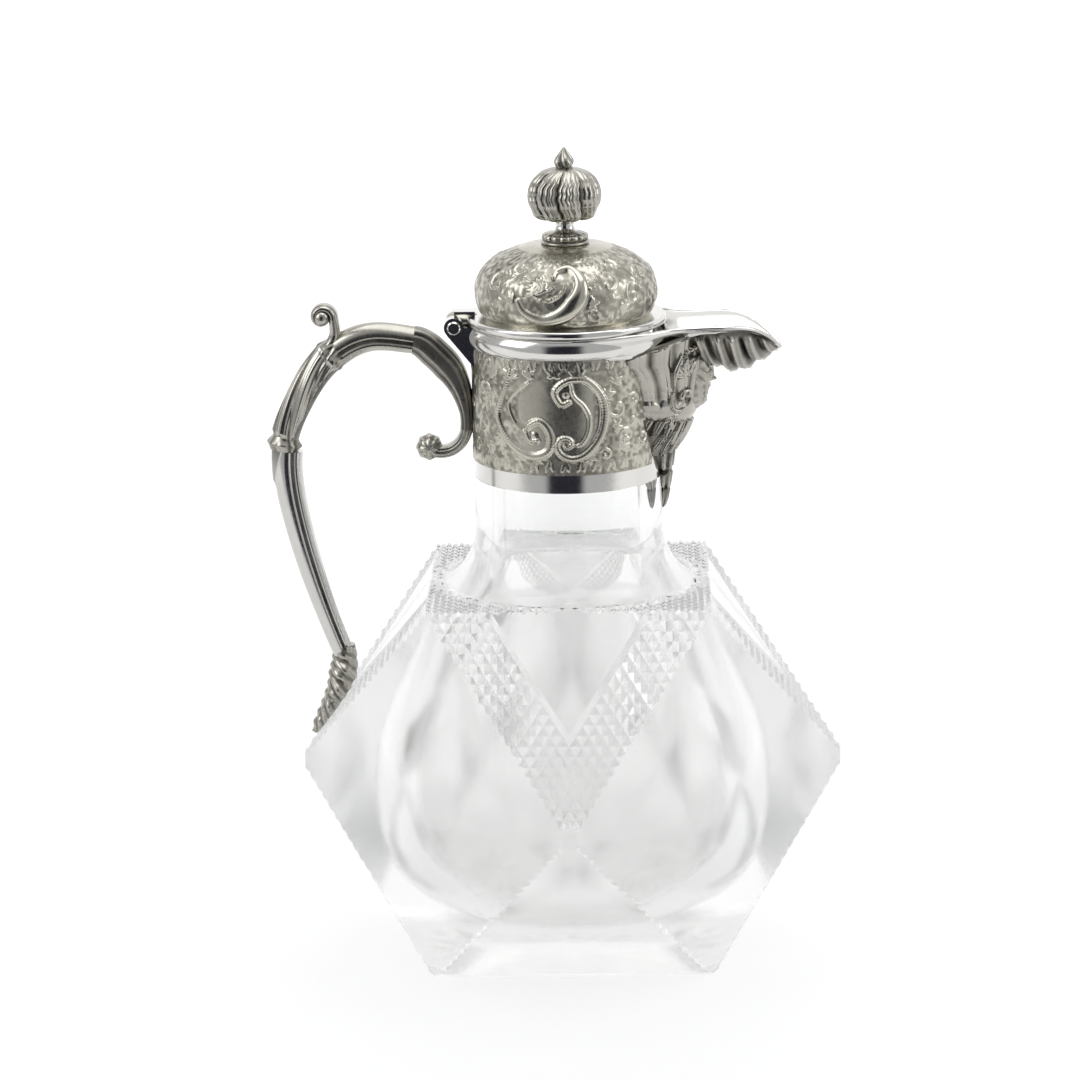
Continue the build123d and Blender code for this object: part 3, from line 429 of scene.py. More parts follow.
# ------------------------------------------------------------------ finishes
@dataclass(frozen=True)
class SilverFinish:
    """Silver plate: how bright, how dark in its recesses, how smooth, and how it was tooled."""

    name: str
    silver: tuple = (0.83, 0.82, 0.80, 1.0)
    tarnish: tuple = (0.085, 0.078, 0.068, 1.0)
    dark: float = 0.6
    cloud: float = 0.3
    roughness: float = 0.16
    matting: float = 0.0
    grain: float = 1900.0
    scratches: float = 0.12
    bump: float = 0.00012

    def make(self, groups: dict) -> bpy.types.Material:
        """Builds the material from the shared groups."""
        material = bpy.data.materials.new(self.name)
        material.use_nodes = True
        tree = material.node_tree
        shader = tree.nodes["Principled BSDF"]
        shader.inputs["Metallic"].default_value = 1.0
        age = group_node(
            tree,
            groups["tarnish"],
            Silver=self.silver,
            Tarnish=self.tarnish,
            Dark=self.dark,
            Cloud=self.cloud,
            Roughness=self.roughness,
        )
        marks = group_node(
            tree, groups["chasing"], Matting=self.matting, Grain=self.grain, Scratches=self.scratches
        )
        bump = tree.nodes.new("ShaderNodeBump")
        bump.inputs["Strength"].default_value = 0.6
        bump.inputs["Distance"].default_value = self.bump
        tree.links.new(age.outputs["Colour"], shader.inputs["Base Color"])
        tree.links.new(age.outputs["Roughness"], shader.inputs["Roughness"])
        tree.links.new(marks.outputs["Height"], bump.inputs["Height"])
        tree.links.new(bump.outputs["Normal"], shader.inputs["Normal"])
        return material


@dataclass(frozen=True)
class GlassFinish:
    """Clear lead glass: polished, with the faint waviness of blown and hand-polished walls."""

    name: str = "cut_crystal"
    index: float = 1.52
    waviness: float = 0.00006
    haze: float = 0.19
    clear_above: tuple = (0.112, 0.126)

    def make(self) -> bpy.types.Material:
        """Builds the glass, with its acid-dulled cut body hazy and its neck clear."""
        material = bpy.data.materials.new(self.name)
        material.use_nodes = True
        tree = material.node_tree
        shader = tree.nodes["Principled BSDF"]
        shader.inputs["Transmission Weight"].default_value = 1.0
        shader.inputs["IOR"].default_value = self.index
        wave = noise(tree, 45.0, 2.0)
        place = tree.nodes.new("ShaderNodeTexCoord")
        split = tree.nodes.new("ShaderNodeSeparateXYZ")
        tree.links.new(place.outputs["Object"], split.inputs["Vector"])
        frost = spread(tree, split.outputs["Z"], *self.clear_above, self.haze, 0.02)
        clearing = spread(tree, split.outputs["Z"], *self.clear_above, 0.0, 1.0)
        colour = mix_colour(tree, clearing, (0.845, 0.847, 0.842, 1.0), (0.94, 0.945, 0.94, 1.0))
        tree.links.new(colour, shader.inputs["Base Color"])
        tree.links.new(frost, shader.inputs["Roughness"])
        bump = tree.nodes.new("ShaderNodeBump")
        bump.inputs["Strength"].default_value = 0.5
        bump.inputs["Distance"].default_value = self.waviness
        tree.links.new(wave, bump.inputs["Height"])
        tree.links.new(bump.outputs["Normal"], shader.inputs["Normal"])
        path = tree.nodes.new("ShaderNodeLightPath")
        clear = tree.nodes.new("ShaderNodeBsdfTransparent")
        clear.inputs["Color"].default_value = (0.93, 0.93, 0.93, 1.0)
        mix = tree.nodes.new("ShaderNodeMixShader")
        tree.links.new(path.outputs["Is Shadow Ray"], mix.inputs["Fac"])
        tree.links.new(shader.outputs["BSDF"], mix.inputs[1])
        tree.links.new(clear.outputs["BSDF"], mix.inputs[2])
        tree.links.new(mix.outputs["Shader"], tree.nodes["Material Output"].inputs["Surface"])
        return material


@dataclass(frozen=True)
class PlainFinish:
    """A plain finish that hardly shows: brass fittings or plaster."""

    name: str
    colour: tuple
    metallic: float
    roughness: float

    def make(self) -> bpy.types.Material:
        """Builds the material, with its colour a little uneven."""
        material = bpy.data.materials.new(self.name)
        material.use_nodes = True
        tree = material.node_tree
        shader = tree.nodes["Principled BSDF"]
        shader.inputs["Metallic"].default_value = self.metallic
        cloud = noise(tree, 220.0, 4.0)
        darker = tuple(0.7 * c for c in self.colour[:3]) + (1.0,)
        colour = mix_colour(tree, spread(tree, cloud, 0.35, 0.75, 0.0, 1.0), self.colour, darker)
        tree.links.new(colour, shader.inputs["Base Color"])
        rough = spread(tree, cloud, 0.3, 0.8, self.roughness, self.roughness + 0.15)
        tree.links.new(rough, shader.inputs["Roughness"])
        return material


@dataclass
class Finishes:
    """Every finish on the jug, made once."""

    materials: dict = field(default_factory=dict)

    def make(self) -> dict:
        """Builds the shared groups, then each finish."""
        groups = {"tarnish": tarnish_group(), "chasing": chasing_group()}
        silvers = (
            SilverFinish("polished_silver", roughness=0.11, dark=0.3, cloud=0.2, silver=(0.72, 0.71, 0.685, 1.0)),
            SilverFinish(
                "chased_silver", roughness=0.21, dark=0.7, cloud=0.4, matting=1.0, bump=0.00011,
                silver=(0.54, 0.52, 0.45, 1.0), tarnish=(0.06, 0.054, 0.043, 1.0),
            ),
            SilverFinish(
                "cast_silver", roughness=0.19, dark=0.93, cloud=0.5, silver=(0.45, 0.435, 0.39, 1.0),
                tarnish=(0.035, 0.031, 0.026, 1.0),
            ),
            SilverFinish("worn_silver", roughness=0.12, dark=0.75, cloud=0.25, silver=(0.62, 0.61, 0.59, 1.0)),
        )
        self.materials = {s.name: s.make(groups) for s in silvers}
        self.materials["cut_crystal"] = GlassFinish().make()
        self.materials["brass"] = PlainFinish("brass", (0.72, 0.55, 0.28, 1.0), 1.0, 0.3).make()
        self.materials["plaster"] = PlainFinish("plaster", (0.8, 0.78, 0.7, 1.0), 0.0, 0.85).make()
        return self.materials


# ------------------------------------------------------------------ glass
@dataclass
class GlassBody:
    """Cut-glass body: facets, diamond-cut bands, notched edges, star base, neck and blown hollow."""

    steps: int = 44  # half grooves along each sloping edge
    blunt: int = 2  # steps ground off each side point
    band: int = 10  # steps across each diamond-cut arm
    depth: float = 1.05
    shoulder_depth: float = 0.85
    notch: float = 0.85
    bevel: float = 2.4
    flare_radius: float = 38.0
    flare_height: float = 16.4
    tenon_radius: float = 26.0
    rim: float = 169.5
    bore: float = 22.0
    rays: int = 16
    ray_inner: float = 5.0
    ray_outer: float = 34.0
    ray_half_width: float = 2.8
    ray_depth: float = 1.4
    hollow: tuple = (
        (22.0, 169.5), (22.0, 128.0), (22.35, 122.0), (23.4, 117.0), (25.2, 112.0), (27.8, 106.0),
        (31.0, 100.0), (34.5, 94.0), (38.0, 88.0), (41.4, 82.0), (44.4, 76.0), (46.9, 70.0),
        (48.8, 64.0), (50.0, 58.0), (50.6, 52.0), (50.65, 46.0), (49.8, 38.5), (48.6, 34.0),
        (46.9, 30.0), (45.3, 27.0), (43.0, 24.0), (40.8, 22.0), (37.9, 20.0), (34.6, 18.5),
        (30.6, 17.4), (26.0, 17.0), (13.0, 17.0), (0.0, 17.0),
    )

    def quarter(self, points: np.ndarray, turn: int) -> np.ndarray:
        """Turns points by a number of right angles about Z."""
        c, s = ((1, 0), (0, 1), (-1, 0), (0, -1))[turn % 4]
        p = np.asarray(points, dtype=float)
        return np.stack([c * p[..., 0] - s * p[..., 1], s * p[..., 0] + c * p[..., 1], p[..., 2]], axis=-1)

    def sloping(self, i: np.ndarray, j: np.ndarray, up: bool) -> np.ndarray:
        """Point of the +X triangle that is i steps towards its -Y corner and j towards its +Y one."""
        rise = (GLASS_HEIGHT - GLASS_MID_HEIGHT) if up else -GLASS_MID_HEIGHT
        share = (i + j) / self.steps
        return np.stack(
            [
                SIDE_POINT - GLASS_HALF_SIDE * share,
                GLASS_HALF_SIDE * (j - i) / self.steps,
                GLASS_MID_HEIGHT + rise * share,
            ],
            axis=-1,
        )

    def upper_points(self) -> np.ndarray:
        """Points of the +X upper triangle with its diamonds cut, indexed by i and j.

        A diamond's apex stands where both counts are even. Everywhere else in the band the point
        is sunk along the face's normal, so each quarter of a diamond is one flat facet. A groove
        that leaves the face at a side edge ends where its bottom line meets the neighbour's plane.
        """
        n = self.steps
        i, j = np.meshgrid(np.arange(n + 1), np.arange(n + 1), indexing="ij")
        points = self.sloping(i.astype(float), j.astype(float), True)
        normal = np.array([GLASS_HEIGHT - GLASS_MID_HEIGHT, 0.0, GLASS_HALF_SIDE])
        normal /= np.linalg.norm(normal)
        odd = (i % 2 == 1) | (j % 2 == 1)
        arm = (i < self.band) | (j < self.band)
        clear = i + j > self.blunt
        sunk = odd & arm & clear
        points[sunk] -= self.depth * normal
        down = np.array([GLASS_HALF_SIDE, 0.0, GLASS_MID_HEIGHT - GLASS_HEIGHT])
        down /= np.linalg.norm(down)
        brow = (i + j == n) & (i % 2 == 1) & (np.abs(j - i) > 5)
        points[brow] += down * (self.shoulder_depth / -down[2])
        for side, run in ((0, -1.0), (1, 1.0)):
            line = np.array([-GLASS_HALF_SIDE, run * GLASS_HALF_SIDE, GLASS_HEIGHT - GLASS_MID_HEIGHT])
            line /= np.linalg.norm(line)
            plane = np.array([1.0, -run, 0.0])
            edge = sunk & ((i if side == 0 else j) == 0)
            gap = (SIDE_POINT - points[edge] @ plane) / (line @ plane)
            points[edge] += gap[:, None] * line
        return points

    def add_upper(self, surface: Surface, turn: int, points: np.ndarray) -> None:
        """Adds one upper triangle, each cell split from a diamond's apex to its foot."""
        n = self.steps
        index = surface.add_points(self.quarter(points, turn))
        i, j = np.meshgrid(np.arange(n), np.arange(n), indexing="ij")
        level = i + j
        whole = (level >= self.blunt) & (level + 2 <= n)
        same = whole & ((i + j) % 2 == 0)
        cross = whole & ((i + j) % 2 == 1)
        for pick, corners in (
            (same, ((0, 0), (1, 0), (1, 1))),
            (same, ((0, 0), (1, 1), (0, 1))),
            (cross, ((0, 0), (1, 0), (0, 1))),
            (cross, ((1, 0), (1, 1), (0, 1))),
            (level == n - 1, ((0, 0), (1, 0), (0, 1))),
            (level == self.blunt - 1, ((1, 0), (1, 1), (0, 1))),
        ):
            a, b = i[pick], j[pick]
            surface.add_faces(np.stack([index[a + da, b + db] for da, db in corners], axis=-1))

    def lower_edge(self, side: int) -> tuple[np.ndarray, np.ndarray, list]:
        """Notched lower edge of the +X side, seen on the triangle and on the upright diamond.

        A notch is a V filed square across the edge: both faces keep flat, and each loses a small
        triangle. The two slopes of the V are the facets given back.

        Args:
            side: 1 for the edge on the +Y side, -1 for the other.

        Returns:
            The edge's points on the triangle, its points on the diamond, and the notch facets.
        """
        last = 42
        k = np.arange(self.blunt, last + 1).astype(float)
        zero = np.zeros_like(k)
        line = self.sloping(zero, k, False) if side > 0 else self.sloping(k, zero, False)
        along = line[-1] - line[0]
        along /= np.linalg.norm(along)
        slope = np.array([GLASS_MID_HEIGHT, 0.0, -GLASS_HALF_SIDE])
        slope /= np.linalg.norm(slope)
        upright = np.array([1.0, float(side), 0.0]) / math.sqrt(2)
        inward_slope = np.cross(slope, along)
        inward_slope *= -np.sign(inward_slope[1]) * side
        inward_upright = np.cross(upright, along)
        inward_upright *= np.sign(inward_upright[1]) * side
        on_slope, on_upright, facets = line.copy(), line.copy(), []
        for m in range(1, len(line) - 1, 2):
            on_slope[m] = line[m] + self.notch * inward_slope
            on_upright[m] = line[m] + self.notch * inward_upright
            facets.append(np.array([line[m - 1], on_slope[m], on_upright[m]]))
            facets.append(np.array([line[m + 1], on_upright[m], on_slope[m]]))
        return on_slope, on_upright, facets

    def foot_points(self) -> dict:
        """Corner points of the bevel round the base, for the +X side."""
        h, b = GLASS_HALF_SIDE, self.bevel
        slope = math.hypot(GLASS_HALF_SIDE, GLASS_MID_HEIGHT)
        out, up = b * GLASS_HALF_SIDE / slope, b * GLASS_MID_HEIGHT / slope
        tip = up * b / (out + b)
        return {
            "slope": np.array([h + out, h - out, up]),
            "tip": np.array([h, h, tip]),
            "base": np.array([h - b, h - b, 0.0]),
        }

    def add_sides(self, surface: Surface, upper: np.ndarray) -> None:
        """Adds the lower triangles, the upright diamonds, the blunted points and the base's bevel."""
        n, foot = self.steps, self.foot_points()
        flip = np.array([1.0, -1.0, 1.0])
        plus, minus = self.lower_edge(1), self.lower_edge(-1)
        corner = self.sloping(np.array([self.blunt, 0.0]), np.array([0.0, self.blunt]), False)
        ray = (GLASS_HALF_SIDE - self.bevel) * math.tan(TAU / self.rays)
        rim = [foot["base"][0] * np.array([1.0, 0, 0]) + np.array([0, y, 0]) for y in (ray, 0.0, -ray)]
        for turn in range(4):
            triangle = np.vstack([plus[0], foot["slope"], foot["slope"] * flip, minus[0][::-1]])
            surface.add_polygon(self.quarter(triangle, turn))
            for facet in plus[2] + minus[2]:
                surface.add_polygon(self.quarter(facet, turn))
            point = np.vstack([upper[self.blunt, 0], upper[1, 1], upper[0, self.blunt], corner[1], corner[0]])
            surface.add_polygon(self.quarter(point, turn))
            bevel = np.vstack(
                [foot["base"], foot["tip"], foot["slope"], foot["slope"] * flip, foot["tip"] * flip, foot["base"] * flip]
                + [r for r in rim[::-1]]
            )
            surface.add_polygon(self.quarter(bevel, turn))
            here = upper[0, self.blunt : n + 1]
            there = self.quarter(upper[self.blunt : n + 1, 0], 1)
            low_here, low_there = plus[1], self.quarter(minus[1], 1)
            feet = [foot["slope"], foot["tip"], self.quarter(foot["slope"] * flip, 1)]
            diamond = np.vstack([here[::-1], low_here, feet, low_there[::-1], there[:-1]])
            surface.add_polygon(self.quarter(diamond, turn))

    def add_shoulder(self, surface: Surface, upper: np.ndarray, angles: np.ndarray) -> None:
        """Adds the square top: small diamonds in its corners, flat round the foot of the neck.

        The diamonds lie on a lattice turned by 45 degrees whose border falls on the points of the
        sloping faces' top edges. The flat ring between them and the neck is triangulated.
        """
        n = self.steps
        p, q = np.meshgrid(np.arange(-n, n + 1), np.arange(-n, n + 1), indexing="ij")
        x, y = GLASS_HALF_SIDE * p / n, GLASS_HALF_SIDE * q / n
        lattice = (p + q) % 2 == 0
        a, b = (p + q) // 2, (q - p) // 2
        apex = (a % 2 == 0) & (b % 2 == 0)
        radius = np.hypot(x, y)
        z = np.where(apex | (radius < 40.2), GLASS_HEIGHT, GLASS_HEIGHT - self.shoulder_depth)
        points = np.stack([x, y, z], axis=-1)
        for turn in range(4):
            k = np.arange(n + 1)
            brow = self.quarter(upper[k, n - k], turn)
            at = self.quarter(np.stack([np.full(n + 1, float(n)), (n - 2.0 * k), 0.0 * k], axis=-1), turn)
            points[np.rint(at[:, 0]).astype(int) + n, np.rint(at[:, 1]).astype(int) + n] = brow
        keep = lattice & (radius > self.flare_radius + 0.7)
        index = surface.add_points(points)
        triangles = []
        for dp, dq in ((1, 1), (-1, 1)):
            for corners in (((0, 0), (dp, dq), (0, 2)), ((0, 0), (dp, dq), (2 * dp, 0))):
                span = np.array(corners)
                ok = np.ones_like(keep)
                for sp, sq in span:
                    inside = (np.abs(p + sp) <= n) & (np.abs(q + sq) <= n)
                    ok &= inside
                    ok &= keep[np.clip(p + sp + n, 0, 2 * n), np.clip(q + sq + n, 0, 2 * n)]
                mate = span[2]
                ends = apex | ((a % 2 != 0) & (b % 2 != 0))
                other = ends[np.clip(p + mate[0] + n, 0, 2 * n), np.clip(q + mate[1] + n, 0, 2 * n)]
                ok &= ends & other
                i, j = p[ok] + n, q[ok] + n
                triangles.append(np.stack([index[i + sp, j + sq] for sp, sq in span], axis=-1))
        triangles = np.concatenate(triangles)
        surface.add_faces(triangles)
        edges = np.sort(np.concatenate([triangles[:, [0, 1]], triangles[:, [1, 2]], triangles[:, [2, 0]]]), axis=1)
        unique, counts = np.unique(edges, axis=0, return_counts=True)
        flat = points.reshape(-1, 3)
        base = index.reshape(-1)[0]
        rim = unique[counts == 1] - base
        inner = rim[(np.abs(flat[rim]).max(axis=(1, 2)) < GLASS_HALF_SIDE - 0.01) | (np.hypot(*flat[rim].mean(axis=1)[:, :2].T) < 41.5)]
        self.add_flat_ring(surface, flat, inner, angles)

    def add_flat_ring(
        self, surface: Surface, flat: np.ndarray, loop: np.ndarray, angles: np.ndarray
    ) -> None:
        """Fills between the lattice's inner border and the circle at the foot of the neck."""
        from mathutils.geometry import delaunay_2d_cdt

        used = np.unique(loop)
        place = {v: k for k, v in enumerate(used)}
        circle = self.flare_radius * np.stack([np.cos(angles), np.sin(angles)], axis=-1)
        plan = np.vstack([flat[used][:, :2], circle])
        heights = np.concatenate([flat[used][:, 2], np.full(len(circle), GLASS_HEIGHT)])
        m = len(used)
        ring = [(m + k, m + (k + 1) % len(circle)) for k in range(len(circle))]
        edges = [(place[u], place[v]) for u, v in loop] + ring
        verts, _, faces, source, _, _ = delaunay_2d_cdt(
            [Vector(v) for v in plan], edges, [], 0, 1e-6
        )
        tris = np.array([f for f in faces if len(f) == 3])
        spot = np.array([v[:] for v in verts])
        level = np.array([heights[s[0]] if s else GLASS_HEIGHT for s in source])
        middle = spot[tris].mean(axis=1)
        radius = np.hypot(middle[:, 0], middle[:, 1])
        angle_of = np.arctan2(plan[:m, 1], plan[:m, 0])
        order = np.argsort(angle_of)
        reach = np.interp(
            np.arctan2(middle[:, 1], middle[:, 0]), angle_of[order], np.hypot(*plan[:m][order].T), period=TAU
        )
        good = (radius > self.flare_radius * 0.9995 - 0.05) & (radius < reach - 0.02)
        index = surface.add_points(np.column_stack([spot, level]))
        surface.add_faces(index[tris[good]])

    def add_base(self, surface: Surface) -> None:
        """Adds the square underside with its star: rays sunk to a point each, from a flat centre."""
        flat, out = [], GLASS_HALF_SIDE - self.bevel
        step = TAU / self.rays
        middle = self.ray_outer * 0.6
        for ray in range(self.rays):
            a, b = ray * step, (ray + 1) * step

            def spot(radius: float, angle: float, aside: float = 0.0, up: float = 0.0) -> np.ndarray:
                """Point at a radius along a ray, moved aside from it and up."""
                c, s = math.cos(angle), math.sin(angle)
                return np.array([radius * c - aside * s, radius * s + aside * c, up])

            edge = [out / max(abs(math.cos(t)), abs(math.sin(t))) for t in (a, b)]
            surface.add_polygon(
                np.array(
                    [
                        spot(self.ray_inner, a), spot(middle, a, self.ray_half_width),
                        spot(self.ray_outer, a), spot(edge[0], a), spot(edge[1], b),
                        spot(self.ray_outer, b), spot(middle, b, -self.ray_half_width),
                        spot(self.ray_inner, b),
                    ]
                )
            )
            sunk = spot(middle, a, 0.0, self.ray_depth)
            ring = [
                spot(self.ray_inner, a), spot(middle, a, self.ray_half_width),
                spot(self.ray_outer, a), spot(middle, a, -self.ray_half_width),
            ]
            for one, two in zip(ring, ring[1:] + ring[:1]):
                surface.add_polygon(np.array([one, two, sunk]))
            flat.append(spot(self.ray_inner, a))
        surface.add_polygon(np.array(flat))

    def neck_profile(self) -> np.ndarray:
        """Outline from the foot of the flare up the neck, over the rim and down into the hollow.

        The flare is the circle that leaves the neck upright and meets the shoulder.
        """
        run = self.flare_radius - NECK_RADIUS
        bend = (run**2 + self.flare_height**2) / (2 * run)
        top = GLASS_HEIGHT + self.flare_height
        sweep = np.linspace(math.asin(self.flare_height / bend), 0, 15)
        flare = np.stack([NECK_RADIUS + bend * (1 - np.cos(sweep)), top - bend * np.sin(sweep)], axis=1)
        straight = [(NECK_RADIUS, z) for z in (138.0, 143.5, NECK_TOP)]
        tenon = [(self.tenon_radius, z) for z in (NECK_TOP, 159.0, self.rim)]
        inside = smooth_curve(np.array(self.hollow[1:-2]), 90)
        bore = [(self.bore, z) for z in (self.rim, 160.0, 150.0, 140.0, 132.0)]
        return np.vstack([flare, straight, tenon, bore, inside, self.hollow[-2:]])

    def make(self, finish: bpy.types.Material) -> None:
        """Builds the body in one closed mesh and stands it in for the CAD's."""
        surface = Surface()
        angles = np.arange(192) * TAU / 192
        upper = self.upper_points()
        for turn in range(4):
            self.add_upper(surface, turn, upper)
        self.add_sides(surface, upper)
        self.add_shoulder(surface, upper, angles)
        self.add_base(surface)
        surface.add_grid(lathe(self.neck_profile(), angles), wrap_v=True)
        piece = surface.build("cut_glass_body", Shade.CUT)
        dress(piece, "jug", "cut_glass", finish, "glass_body")


# ------------------------------------------------------------------ ornament
def spline_curve(points: np.ndarray, count: int, tangents: tuple | None = None) -> np.ndarray:
    """Cubic spline through points over their chord lengths, walked evenly.

    The second slopes at the knots solve the usual three-diagonal system, with free ends or with
    the given directions there.

    Args:
        points: knots, (n, d).
        count: how many points come back.
        tangents: directions at the two ends, or none for free ends.

    Returns:
        Array of (count, d).
    """
    p = np.asarray(points, dtype=float)
    n = len(p)
    h = np.linalg.norm(np.diff(p, axis=0), axis=1)
    matrix, right = np.zeros((n, n)), np.zeros_like(p)
    for k in range(1, n - 1):
        matrix[k, k - 1 : k + 2] = (h[k - 1], 2 * (h[k - 1] + h[k]), h[k])
        right[k] = 6 * ((p[k + 1] - p[k]) / h[k] - (p[k] - p[k - 1]) / h[k - 1])
    matrix[0, 0] = matrix[-1, -1] = 1.0
    if tangents is not None:
        first, last = (np.asarray(t, dtype=float) / np.linalg.norm(t) for t in tangents)
        matrix[0, :2] = (2 * h[0], h[0])
        right[0] = 6 * ((p[1] - p[0]) / h[0] - first)
        matrix[-1, -2:] = (h[-1], 2 * h[-1])
        right[-1] = 6 * (last - (p[-1] - p[-2]) / h[-1])
    bend = np.linalg.solve(matrix, right)
    dense = []
    for k in range(n - 1):
        t = np.linspace(0, h[k], 40, endpoint=k == n - 2)[:, None]
        dense.append(
            bend[k] * (h[k] - t) ** 3 / (6 * h[k])
            + bend[k + 1] * t**3 / (6 * h[k])
            + (p[k] / h[k] - bend[k] * h[k] / 6) * (h[k] - t)
            + (p[k + 1] / h[k] - bend[k + 1] * h[k] / 6) * t
        )
    dense = np.vstack(dense)
    walked = np.concatenate([[0], np.cumsum(np.linalg.norm(np.diff(dense, axis=0), axis=1))])
    even = np.linspace(0, walked[-1], count)
    return np.stack([np.interp(even, walked, dense[:, k]) for k in range(p.shape[1])], axis=1)


def curl(centre: tuple, start: float, turn: float, radius: float, inner: float = 0.5, count: int = 40) -> np.ndarray:
    """Spiral from its outer end in to its eye: r shrinks evenly as the angle turns.

    Args:
        centre: the eye.
        start: angle of the outer end, degrees.
        turn: degrees turned inwards, negative for clockwise.
        radius: distance of the outer end from the eye.
        inner: distance of the inner end.
        count: how many points.

    Returns:
        Points of the spiral, (count, 2).
    """
    t = np.linspace(0, 1, count)
    a = np.radians(start + turn * t)
    r = radius + (inner - radius) * t
    return np.stack([centre[0] + r * np.cos(a), centre[1] + r * np.sin(a)], axis=1)


@dataclass
class Relief:
    """Height of chased work over a flat map of the surface, in mm, with how bright it is rubbed."""

    u: np.ndarray
    v: np.ndarray
    height: np.ndarray = field(init=False)
    rub: np.ndarray = field(init=False)

    def __post_init__(self) -> None:
        """Starts as bare ground."""
        self.height = np.zeros_like(self.u)
        self.rub = np.zeros_like(self.u)

    def stroke(
        self,
        curve: np.ndarray,
        width: float,
        height: float,
        taper: tuple = (0.35, 1.0, 0.3),
        smooth: bool = True,
    ) -> None:
        """Raises a bead along a curve, wide in the middle and narrow at its ends.

        Args:
            curve: its control points, or dense points when it isn't to be smoothed.
            width: full width at its widest.
            height: height of its crest.
            taper: share of the width at the start, the middle and the end.
            smooth: runs a smooth curve through the points first.
        """
        line = smooth_curve(curve, 70) if smooth else np.asarray(curve, dtype=float)
        half = width / 2 * np.interp(np.linspace(0, 1, len(line)), (0, 0.5, 1), taper)
        share, _ = near_curve(self.u, self.v, line, half)
        bead = ridge(share, 1.0)
        self.height = np.maximum(self.height, bead * height)
        self.rub = np.maximum(self.rub, np.clip(bead * 1.3, 0, 1))

    def leaf(self, root: tuple, angle: float, length: float, width: float, height: float, bend: float = 0.0) -> None:
        """Raises one pointed leaf with a vein down its middle.

        Args:
            root: where it springs.
            angle: direction, degrees.
            length: from root to tip.
            width: at its widest.
            height: of its body.
            bend: degrees that it turns on its way.
        """
        t = np.linspace(0, 1, 26)
        a = np.radians(angle + bend * t)
        step = length / 25
        line = np.stack([root[0] + np.cumsum(np.cos(a)) * step, root[1] + np.cumsum(np.sin(a)) * step], axis=1)
        half = width / 2 * np.sin(np.pi * np.clip(t, 0.03, 0.985) ** 0.8) + 0.06
        share, _ = near_curve(self.u, self.v, line, half)
        body = ridge(share, 1.0) ** 0.7
        vein = np.clip(1 - share / 0.28, 0, 1)
        self.height = np.maximum(self.height, (body - 0.45 * vein * (body > 0)) * height)
        self.rub = np.maximum(self.rub, np.clip(body * 1.2 - vein * 0.8, 0, 1))

    def spray(self, root: tuple, angle: float, size: float, height: float, count: int = 5, fan: float = 110.0) -> None:
        """Raises a fan of leaves from one root, the middle one longest."""
        for k in range(count):
            off = (k / (count - 1) - 0.5) * fan
            length = size * (1 - 0.4 * abs(off) / (fan / 2 + 1e-6))
            self.leaf(root, angle + off, length, size * 0.34, height, bend=off * 0.35)

    def plain(self, inside: np.ndarray, height: float) -> None:
        """Leaves an area smooth and polished at a height."""
        share = np.clip(inside, 0, 1)
        self.height = np.maximum(self.height, share * height)
        self.rub = np.maximum(self.rub, share * 0.62)

    def grain(self, size: float, height: float, rub: float, seed: int) -> None:
        """Roughens the whole ground with small soft mounds about a size across."""
        step_u = abs(float(np.median(np.diff(self.u, axis=0))))
        step_v = abs(float(np.median(np.diff(self.v, axis=1))))
        shape = tuple(max(4, int(n * step / size)) for n, step in zip(self.u.shape, (step_u, step_v)))
        coarse = np.random.default_rng(seed).random(shape)
        rows = np.linspace(0, shape[0] - 1, self.u.shape[0])
        columns = np.linspace(0, shape[1] - 1, self.u.shape[1])
        soft_rows = np.stack([np.interp(rows, np.arange(shape[0]), coarse[:, k]) for k in range(shape[1])], axis=1)
        soft = np.stack([np.interp(columns, np.arange(shape[1]), row) for row in soft_rows])
        bare = np.clip(1 - self.height / 0.12, 0, 1)
        self.height += bare * soft * height
        self.rub = np.maximum(self.rub, bare * np.clip(soft * 1.5 - 0.45, 0, 1) * rub)

    def dot(self, centre: tuple, radius: float, height: float) -> None:
        """Raises one round boss."""
        bead = ridge(np.hypot(self.u - centre[0], self.v - centre[1]), radius)
        self.height = np.maximum(self.height, bead * height)
        self.rub = np.maximum(self.rub, np.clip(bead * 1.3, 0, 1))


